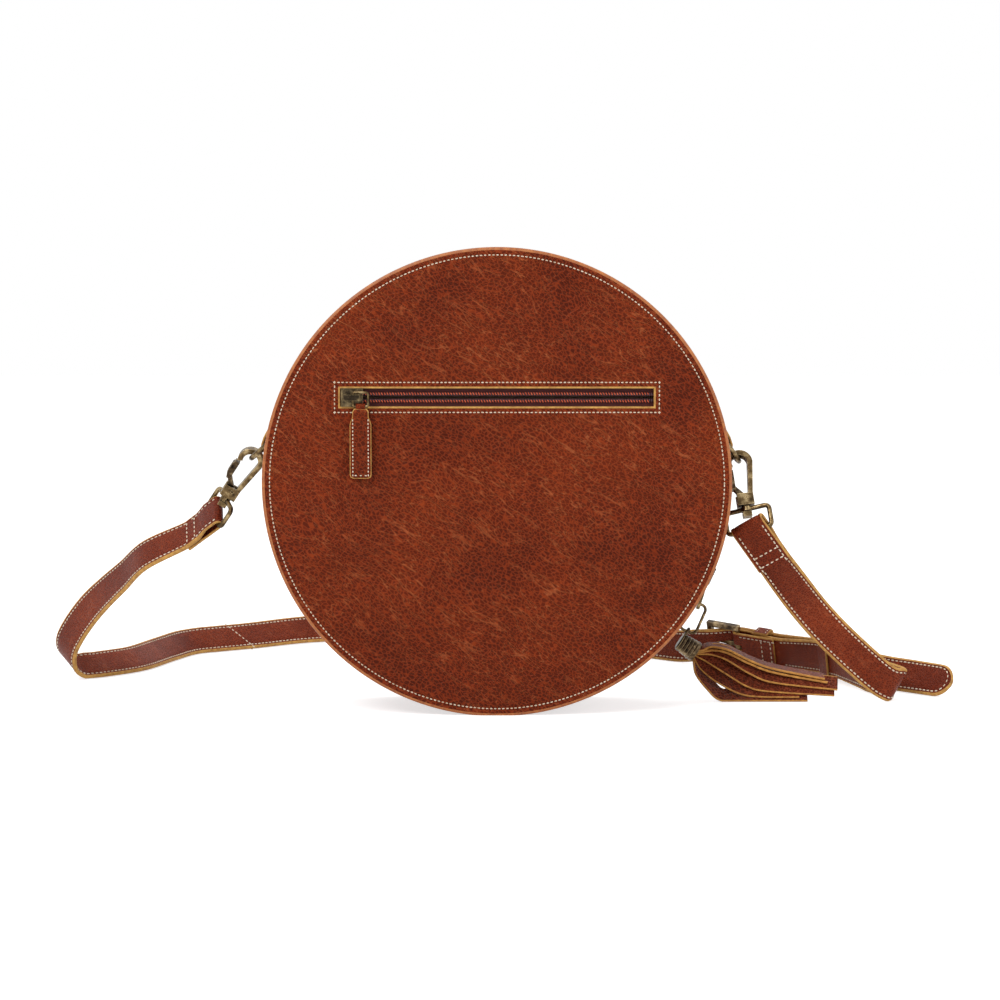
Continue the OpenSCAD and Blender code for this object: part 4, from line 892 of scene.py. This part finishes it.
folds = {
    "left": {"origin": (-139.025, 5.516, 98.692), "across": (-0.0977, 0.7252, 0.6815),
             "rise": (0.7319, -0.4117, 0.543), "bar": 2.4},
    "right": {"origin": (122.409, -23.082, 95.028), "across": (0.7926, -0.3451, 0.5026),
              "rise": (-0.5775, -0.1606, 0.8005), "bar": 2.4},
    "heel": {"origin": (133.163, 136.581, 12.297), "across": (-0.1506, -0.3515, 0.924),
             "rise": (-0.824, 0.561, 0.0791), "bar": 2.5},
}


def foldSections(fold, toStrap):
    rise, across = unit(fold["rise"]), unit(fold["across"])
    across = unit(across - rise * across.dot(rise))
    out = np.cross(rise, across)
    origin = np.asarray(fold["origin"], float)
    thin, thick, turn = strap["foldThick"], strap["thick"], strap["fold"]
    inside = fold["bar"] / 2 + strap["barGap"]
    mid, reach = inside + thin / 2, inside + thin
    flap = -(thick + thin) / 2 - strap["lift"]
    # the free flap, then round the bar, then into the strap
    path = [(flap, z, thin) for z in (-straight, -straight + 3, -straight + 6, -turn)]
    path += [(flap * 0.55 - mid * 0.45, -turn * 0.8, thin), (-mid, -turn * 0.58, thin)]
    path.append((-mid, -reach - 3, thin))
    path += [(-mid * c, -reach + mid * s, thin) for c, s in map(cosSin, range(0, 181, 15))]
    path += [(mid, -reach - 3, thin), (mid, -turn * 0.58, thin), (mid * 0.45, -turn * 0.8, (thin + thick) / 2),
             (0.0, -turn, thick), (0.0, -turn - 3, thick)]
    if not toStrap:
        path = path[::-1]
    spots = [origin + y * out + z * rise for y, z, t in path]
    sections = []
    for k, (spot, (y, z, t)) in enumerate(zip(spots, path)):
        side = np.cross(unit(spots[min(k + 1, len(spots) - 1)] - spots[max(k - 1, 0)]), across)
        sections.append({"at": spot, "up": across, "side": side, "width": strap["width"], "thick": t})
    return sections


def tipSections(lastSection, way, radius):
    more = []
    for k in range(1, 13):
        s = radius * math.sin(math.pi / 2 * k / 12.6)
        width = 2 * math.sqrt(radius ** 2 - s ** 2)
        more.append(dict(lastSection, at=lastSection["at"] + s * way, width=width))
    return more


def runOf(rows):
    return sectionsOf(rows, strap["width"], strap["thick"], strap["steps"])[strap["steps"]:]


longRun = runOf(longRows)
shortRun = runOf(shortRows)[:-strap["steps"]]
tipWay = unit(longRun[-1]["at"] - longRun[-2]["at"])
tip = tipSections(longRun[-1], tipWay, strap["width"] / 2)
longSections = foldSections(folds["left"], True) + longRun + tip
strapLong = skinSections("strapLong", longSections, ["strapLeather", "rawEdge"])
shortSections = foldSections(folds["right"], True) + shortRun + foldSections(folds["heel"], False)
strapShort = skinSections("strapShort", shortSections, ["strapLeather", "rawEdge"])


def rodPiece(name, at, way, radius, length, look, sides=20):
    way = unit(way)
    side = unit(np.cross(way, (0.3, 0.2, 0.9)))
    up = np.cross(way, side)
    points = [at + end * length / 2 * way + radius * (c * side + s * up)
              for end in (-1, 1) for c, s in turnsOf(sides)]
    return addPiece(name, points, endFaces(2, sides) + bridge(2, sides), [look])


def boxPiece(name, origin, axes, low, high, look):
    corners = [origin + x * axes[0] + y * axes[1] + z * axes[2]
               for x in (low[0], high[0]) for y in (low[1], high[1]) for z in (low[2], high[2])]
    faces = [(0, 1, 3, 2), (4, 6, 7, 5), (0, 4, 5, 1), (2, 3, 7, 6), (0, 2, 6, 4), (1, 5, 7, 3)]
    return addPiece(name, corners, faces, [look])


def nearestOf(spot):
    return min(longRun, key=lambda section: np.linalg.norm(section["at"] - np.array(spot)))


def nearestFrom(x, y):
    return min(longRun, key=lambda section: abs(section["at"][0] - x) + abs(section["at"][1] - y))


buckle = {"at": np.array([135.47, 135.01, 12.08]), "along": unit((-0.824, 0.561, 0.0791)),
          "up": unit((-0.1506, -0.3515, 0.924)), "slotBack": 2.5,
          "slot": ((0, -1.7, -4.3), (15, 1.7, 8.6)), "heel": ((-3.1, -1.5, -5.6), (5.3, 1.5, 5.6))}
buckleAxes = (buckle["along"], buckle["up"], unit(np.cross(buckle["along"], buckle["up"])))
punched = [(210.76, 47.01, 8.59), (200.56, 57.5, 8.92), (189.28, 74.21, 10.6), (184.79, 82.4, 11.21),
           (182.24, 90.07, 11.06)]
for spot in punched:
    near = nearestOf(spot)
    cutAway(strapLong, rodPiece("holeCutter", near["at"], near["side"], strap["hole"], 10, "rawEdge"))
slotAt = buckle["at"] - buckle["slotBack"] * buckle["along"]
cutAway(strapLong, boxPiece("slotCutter", slotAt, buckleAxes, *buckle["slot"], "rawEdge"))
cutAway(strapShort, boxPiece("heelCutter", buckle["at"], buckleAxes, *buckle["heel"], "rawEdge"))
settle(strapLong, "strap", "strap_leather", "strap_long")
settle(strapShort, "strap", "strap_leather", "strap_short")


def seamAlong(sections, edge, face):
    return [(s["at"] + edge * (s["width"] / 2 - strap["inset"]) * s["up"]
             + face * (s["thick"] / 2 - strap["sink"]) * s["side"], face * s["side"]) for s in sections]


def seamAcross(fold, z, y, face):
    rise, across = unit(fold["rise"]), unit(fold["across"])
    out = np.cross(rise, across)
    spot = np.asarray(fold["origin"], float) + z * rise + y * out
    reach = strap["width"] / 2 - strap["inset"] - 1.2
    return [(spot + u * across, face * out) for u in (-reach, 0, reach)]


def tipSeam(face):
    base, radius = longRun[-1], strap["width"] / 2 - strap["inset"]
    lift = face * (base["thick"] / 2 - 0.1) * base["side"]
    return [(base["at"] + radius * (c * base["up"] + s * tipWay) + lift, face * base["side"])
            for c, s in map(cosSin, range(0, 181, 12))]


def spliceSeam(face):
    one, other = (nearestFrom(x, y) for x, y in strap["splice"])
    reach, lift = strap["width"] / 2 - 0.5, face * (strap["thick"] / 2 + strap["lift"])
    start = one["at"] + reach * one["up"] + lift * one["side"]
    end = other["at"] - reach * other["up"] + lift * other["side"]
    return [(start + (end - start) * t / 4, face * one["side"]) for t in range(5)]


seams = []
for face in (-1, 1):
    seams += [seamAlong(longRun, 1, face), seamAlong(longRun, -1, face), tipSeam(face)]
    seams += [seamAlong(shortRun, 1, face), seamAlong(shortRun, -1, face)]
for fold in folds.values():
    turned = foldSections(fold, True)
    for edge in (-1, 1):
        seams += [seamAlong(turned[:7], edge, -1), seamAlong(turned[-6:], edge, -1)]
    for z in (-strap["fold"] - 1.6, -straight + 1.8):
        seams.append(seamAcross(fold, z, strap["thick"] / 2 + strap["lift"], 1))
        seams.append(seamAcross(fold, z, -strap["thick"] / 2 - strap["foldThick"] - 0.1, -1))
seams += [spliceSeam(-1), spliceSeam(1)]
addRun("strapStitches", seams, "strapStitch", "strap", "strap_leather")
print("strap made")


# Keepers: leather loops round both layers, the fixed one open where it is sewn under

keeper = {"width": 8.5, "thick": 1.3, "side": 9.95, "high": 6.45, "corner": 2.0, "soft": 0.3, "crown": 0.1,
          "seamIn": 1.6, "seamShort": 2.4, "lift": 0.02}
runWay = unit((-0.3552, 0.9348, 0))
runFront = unit((0.9289, 0.353, 0.1117))
runAxes = (runWay, np.cross(runFront, runWay), runFront)


def addKeeper(name, origin, axes, low, opened, body, node):
    along, up, front = axes
    origin = np.asarray(origin, float)
    half, skin = keeper["width"] / 2, keeper["thick"] / 2
    side, high, corner = keeper["side"], keeper["high"], keeper["corner"]
    path = roundedOutline(-side, side, low, high, corner)
    path = path[-5:] + path[:-5]
    if opened:
        path = [(side, low, 1, 0)] + [p for p in path if p[1] > low + corner - 0.01] + [(-side, low, -1, 0)]
    right = [(half * 0.4, skin + keeper["crown"]), (half - keeper["soft"], skin), (half, skin / 2),
             (half, -skin / 2), (half - keeper["soft"], -skin)]
    outline = [(-u, v) for u, v in right[::-1]] + right
    points = []
    for py, pz, ny, nz in path:
        points += [origin + u * along + (py + v * ny) * up + (pz + v * nz) * front for u, v in outline]
    n = len(outline)
    faces = bridge(len(path), n, closed=not opened)
    cutFaces = (0, 1, 2, 6, 7, 8)  # the two narrow sides of the outline
    looks = [1 if j in cutFaces else 0 for j in range(n)] * (len(faces) // n)
    if opened:
        faces += endFaces(len(path), n)
        looks += [1, 1]
    settle(addPiece(name, points, faces, ["strapLeather", "rawEdge"], looks), body, "strap_leather", node)
    lines = []
    over = skin + keeper["lift"]
    for u in (keeper["seamIn"] - half, half - keeper["seamIn"]):
        lines.append([(origin + u * along + v * up + (high + over) * front, front)
                      for v in (keeper["seamShort"] - side, 0, side - keeper["seamShort"])])
        lines.append([(origin + u * along + (side + over) * up + v * front, up)
                      for v in (low + keeper["seamIn"], high - keeper["seamIn"])])
    addRun(name + "Stitches", lines, "shortStitch", body, "strap_leather")


addKeeper("keeperFree", (178.25, 88.55, 10.58), runAxes, -2.15, False, "keeper_free", "keeper_free")
addKeeper("keeperFixed", (147.583, 126.763, 10.912), buckleAxes, -0.65, True, "strap", "keeper_fixed")
print("keepers made")


# D-ring tabs: one strip that runs down the side, round the ring's bar and back up

tab = {"width": 17.0, "thick": 1.2, "y": -3.0, "top": 34.0, "low": 8.692, "ringRadius": 115.8, "loop": 2.05,
       "under": 113.68, "over": 114.9, "raised": 117.85, "settles": 6.5, "seamIn": 2.0, "seamReach": 6.2,
       "seamEnds": (1.2, 8.5), "overlap": 0.4, "groove": 0.12, "lift": 0.02}


def onCircle(r, degrees):
    c, s = cosSin(degrees)
    return r * c, bag["centre"] + r * s


def addTab(name, sign, node):
    top, low = tab["top"], tab["low"]
    spots = [onCircle(tab["under"], top + (low + tab["overlap"] - top) * k / 12) for k in range(13)]
    cx, cz = onCircle(tab["ringRadius"], low)
    for t in range(180, 361, 18):
        c, s = cosSin(low + t)
        spots.append((cx + tab["loop"] * c, cz + tab["loop"] * s))
    for k in range(1, 15):
        a = low + (top - low) * k / 14
        lift = (tab["raised"] - tab["over"]) * (1 - smoothStep(low, low + tab["settles"], a))
        spots.append(onCircle(tab["over"] + lift, a))
    up = np.array([0, 1.0, 0])
    sections = []
    for k, (x, z) in enumerate(spots):
        x0, z0 = spots[max(k - 1, 0)]
        x1, z1 = spots[min(k + 1, len(spots) - 1)]
        side = np.cross(unit((sign * (x1 - x0), 0, z1 - z0)), up)
        at = np.array([sign * x, tab["y"], z])
        sections.append({"at": at, "up": up, "side": side, "width": tab["width"], "thick": tab["thick"]})
    lines = []
    for edge in (-1, 1):
        line = []
        for s in sections[-12:]:
            out = np.array([s["at"][0], 0, s["at"][2] - bag["centre"]])
            aside = edge * (tab["width"] / 2 - tab["seamIn"]) * up
            line.append((s["at"] + aside + out / bag["radius"] * (tab["thick"] / 2 + tab["lift"]), unit(out)))
        lines.append(line)
    fromTop, fromLow = tab["seamEnds"]
    for degrees in (top - fromTop, low + fromLow):
        x, z = onCircle(tab["over"] + tab["thick"] / 2, degrees)
        c, s = cosSin(degrees)
        way = (sign * c, 0, s)
        lines.append([((sign * x, tab["y"] + v, z), way) for v in (-tab["seamReach"], 0, tab["seamReach"])])
    piece = skinSections(name, sections, ["sideLeather", "rawEdge"], inset=tab["seamIn"], dip=tab["groove"])
    settle(piece, "bag", "leather", node)
    addRun(name + "Stitches", lines, "stitch", "bag", "leather")


addTab("tabLeft", -1, "tab_left")
addTab("tabRight", 1, "tab_right")


# Pocket pull: leather plate with a neck, and a narrow loop round the bail

pull = {"at": np.array([-66.35, -34.95, 152.15]), "width": 10.5, "top": 7.77, "neck": 5.83, "length": 35.0,
        "thick": 2.1, "soft": 0.35, "seamIn": 1.5, "seamRows": (-6.6, -20, -33.4), "seamEnd": -33.5,
        "lift": 0.02, "loop": 1.15}
pullBand = [(-2.25, -0.3), (-2.25, 0.3), (-1.9, 0.38), (1.9, 0.38), (2.25, 0.3), (2.25, -0.3)]


def addPull():
    x, y, z = pull["at"]
    half, top, neck, end = pull["width"] / 2, pull["top"] / 2, -pull["neck"], -pull["length"]
    right = [(top - 0.8, -1.0), (top, -2.2), (top + 0.1, neck + 0.6), (half - 0.5, neck - 1.2),
             (half, neck - 3), (half, end + 1.6), (half - 0.45, end + 0.45), (half - 1.6, end)]
    outline = [(-right[0][0], right[0][1])] + right + [(-px, pz) for px, pz in right[:0:-1]]
    deep = pull["thick"] / 2
    points = []
    soft = pull["soft"]
    for depth, shrink in ((-deep, soft), (soft - deep, 0), (deep - soft, 0), (deep, soft)):
        for px, pz in outline:
            rise = shrink if pz < -20 else -shrink if pz > -4 else 0
            points.append((x + px - math.copysign(shrink, px), y + depth, z + pz + rise))
    n = len(outline)
    faces, looks = bridge(4, n) + endFaces(4, n), [1] * 3 * n + [0, 0]
    plate = addPiece("pocketPull", points, faces, ["panelLeather", "rawEdge"], looks)
    points = []
    for c, s in map(cosSin, range(-100, 301, 25)):
        out = np.array([0, -c, s])
        points += [pull["at"] + np.array([u, 0, 0]) + (pull["loop"] + v) * out for u, v in pullBand]
    rings, n = len(points) // len(pullBand), len(pullBand)
    band = addPiece("pocketPullLoop", points, bridge(rings, n) + endFaces(rings, n), ["panelLeather"])
    edge = half - pull["seamIn"]
    lines = []
    for face in (-1, 1):
        seamY = y + face * (deep + pull["lift"])
        for side in (-1, 1):
            lines.append([((x + side * edge, seamY, z + row), (0, face, 0)) for row in pull["seamRows"]])
        lines.append([((x + u, seamY, z + pull["seamEnd"]), (0, face, 0)) for u in (1.4 - edge, edge - 1.2)])
    settle(plate, "pocket_pull", "strap_leather", "pocket_pull")
    settle(band, "pocket_pull", "strap_leather")
    addRun("pocketPullStitches", lines, "shortStitch", "pocket_pull", "strap_leather")


addPull()
print("tabs and pull made")


# Tassel: ribbed cap with its eye, six leather strips

cap = {"start": np.array([93.16, 18.5, 30.23]), "way": unit((0.829, 0, -0.559)), "length": 10.5, "small": 4.7,
       "large": 5.5, "eye": np.array([97.07, 18.5, 34.96]), "eyeRadius": 2.0, "eyeWire": 1.2, "ribs": 5,
       "rib": 0.34, "ribBase": 0.3, "ribPower": 0.6, "ribSteps": 40, "ribbed": (0.8, 1.3)}


def addCap():
    way, side, length = cap["way"], np.array([0, 1.0, 0]), cap["length"]
    up = np.cross(way, side)
    small, large, wire = cap["small"], cap["large"], cap["eyeWire"] / 2
    turns, around, across = 40, 28, 10
    profile = [(small - 1.4, 0.0), (small - 0.5, 0.1), (small, 0.6)]
    steps, (ribStart, unribbed) = cap["ribSteps"], cap["ribbed"]
    for k in range(steps + 1):
        rib = cap["rib"] * abs(math.sin(math.pi * cap["ribs"] * k / steps)) ** cap["ribPower"]
        radius = small + (large - small) * k / steps - cap["ribBase"] + rib
        profile.append((radius, ribStart + (length - unribbed) * k / steps))
    profile += [(large - 0.25, length), (large - 0.85, length), (small - 0.8, 2.4)]
    points = [cap["start"]]
    for r, along in profile:
        points += [cap["start"] + along * way + r * (c * side + s * up) for c, s in turnsOf(turns)]
    points.append(cap["start"] + profile[-1][1] * way)
    last = len(points) - 1
    faces = fan(0, 1, turns) + bridge(len(profile), turns, 1) + fan(last, last - turns, turns)
    base = len(points)
    for c, s in turnsOf(around):
        points += [cap["eye"] + (cap["eyeRadius"] + wire * cosB) * (c * side + s * up) + wire * sinB * way
                   for cosB, sinB in turnsOf(across)]
    faces += bridge(around, across, base, closed=True)
    settle(addPiece("tasselCap", points, faces, ["darkBrass"], sharp=60), "tassel", "dark_brass", "tassel_cap")


addCap()
tassel = {"width": 8.0, "thick": 1.2, "steps": 8, "widthShares": [0.46, 0.52, 0.88, 1, 1, 1, 1], "reach": 72.0,
          "rise": 30.0, "near": 9.0, "far": 18.5, "rootTilt": 35, "tilts": [12, 12, 55, 60, 60, 48],
          "asideShares": [0.5, 0.2, 0, 0, 0], "pitch": 1.26, "rootShare": 0.45}
stripShares = [  # along the tassel's reach and its rise, from the cap to the free end
    [(0.10, 0.91), (0.21, 0.885), (0.375, 0.70), (0.544, 0.56), (0.90, 0.390)],
    [(0.11, 0.855), (0.21, 0.83), (0.375, 0.645), (0.544, 0.50), (0.92, 0.330)],
    [(0.12, 0.76), (0.22, 0.70), (0.386, 0.465), (0.55, 0.32), (0.993, 0.200)],
    [(0.10, 0.62), (0.20, 0.49), (0.367, 0.25), (0.52, 0.17), (0.97, 0.100)],
    [(0.06, 0.49), (0.15, 0.33), (0.29, 0.15), (0.42, 0.085), (0.72, 0.075)],
    [(0.02, 0.40), (0.09, 0.19), (0.17, 0.02), (0.30, 0.00), (0.78, -0.05)]]


def tiltedUp(degrees):
    return np.array([0, *cosSin(degrees)])


def addStrips():
    end = cap["start"] + cap["length"] * cap["way"]
    rootUp = tiltedUp(tassel["rootTilt"])
    side = np.cross(cap["way"], rootUp)
    for i, shares in enumerate(stripShares):
        up = tiltedUp(tassel["tilts"][i])
        root = end + ((len(stripShares) - 1) / 2 - i) * tassel["pitch"] * side
        rows = [np.concatenate([root - depth * cap["way"], rootUp])
                for depth in (cap["length"] * tassel["rootShare"], 0)]
        for (along, rise), aside in zip(shares, tassel["asideShares"]):
            y = tassel["near"] + aside * (tassel["far"] - tassel["near"])
            spot = np.array([end[0] + along * tassel["reach"], y, rise * tassel["rise"]])
            rows.append(np.concatenate([spot + up * tassel["width"] / 2, up]))
        sections = sectionsOf(rows, tassel["width"], tassel["thick"], tassel["steps"], tassel["widthShares"])
        looks = ["tasselLeather", "tasselEdge"]
        strip = skinSections("tasselStrip%d" % (i + 1), sections, looks, inset=0, dip=0)
        settle(strip, "tassel", "tassel_leather", "tassel_strips")


addStrips()
print("tassel made")


# Metal pieces keep their solids

metalOf = {
    "antiqueBrass": ["ring_left", "ring_right", "hook_left", "hook_right", "strap_ring_left",
                     "strap_ring_right", "tassel_link", "main_puller", "pocket_bail", "gate_pin_left",
                     "gate_pin_right", "buckle_prong"],
    "darkBrass": ["gate_left", "gate_right", "buckle_frame"],
    "agedBrass": ["main_slider", "pocket_slider"],
    "zipBrass": ["zip_stops"],
    "springSteel": ["gate_spring_left", "gate_spring_right"],
}
for look, nodes in metalOf.items():
    for node in nodes:
        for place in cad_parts[node].material_slots:
            place.material = finishes[look]


# Floor, air and lamps

stage = {"reach": 6000, "tint": 0.8, "glow": 0.66, "air": 0.45, "airSeen": 0.55}
lamps = {"key": {"at": (-0.9, -1.3, 1.5), "size": 0.8, "power": 21},
         "fill": {"at": (1.5, -1.1, 0.9), "size": 1.0, "power": 8},
         "top": {"at": (0.2, 0.6, 1.9), "size": 1.2, "power": 13}}
lampAim = Vector((0.0, 0.05, 0.1))


def seenRays(tree):
    rays = addNode(tree, "ShaderNodeLightPath").outputs
    bounced = mathOf(tree, "MAXIMUM", rays["Is Glossy Ray"], rays["Is Transmission Ray"])
    return mathOf(tree, "MAXIMUM", rays["Is Camera Ray"], bounced)


def groundFinish(name):
    finish, tree, shader = newFinish(name)
    spots = noiseOf(tree, placeOf(tree), scale=6.0)["Fac"]
    setInputs(tree, shader, {
        "Base Color": rampOf(tree, spots, [(0.3, (stage["tint"] * 0.99,) * 3), (0.7, (stage["tint"],) * 3)]),
        "Roughness": 0.9,
        "Specular IOR Level": 0.1,
        "Emission Strength": mathOf(tree, "MULTIPLY", seenRays(tree), stage["glow"]),
        "Emission Color": (1, 1, 1, 1),
    })
    return finish


finishes["ground"] = groundFinish("ground")
floorCorners = [(a * stage["reach"], b * stage["reach"], 0) for a, b in fourCorners]
floor = addPiece("floor", floorCorners, [(0, 1, 2, 3)], ["ground"])

world = bpy.data.worlds.new("air")
sceneNow.world = world
world.use_nodes = True
air = world.node_tree
strength = addNode(air, "ShaderNodeMath", {0: seenRays(air), 1: stage["airSeen"], 2: stage["air"]},
                   operation="MULTIPLY_ADD").outputs[0]
setInputs(air, air.nodes["Background"], {"Color": (1, 1, 1, 1), "Strength": strength})

for name, place in lamps.items():
    lamp = bpy.data.objects.new(name, bpy.data.lights.new(name, "AREA"))
    lamp.data.shape = "SQUARE"
    lamp.data.size = place["size"]
    lamp.data.energy = place["power"]
    lamp.location = place["at"]
    lamp.rotation_euler = (lampAim - Vector(place["at"])).to_track_quat("-Z", "Y").to_euler()
    sceneNow.collection.objects.link(lamp)
print("stage and lamps made")
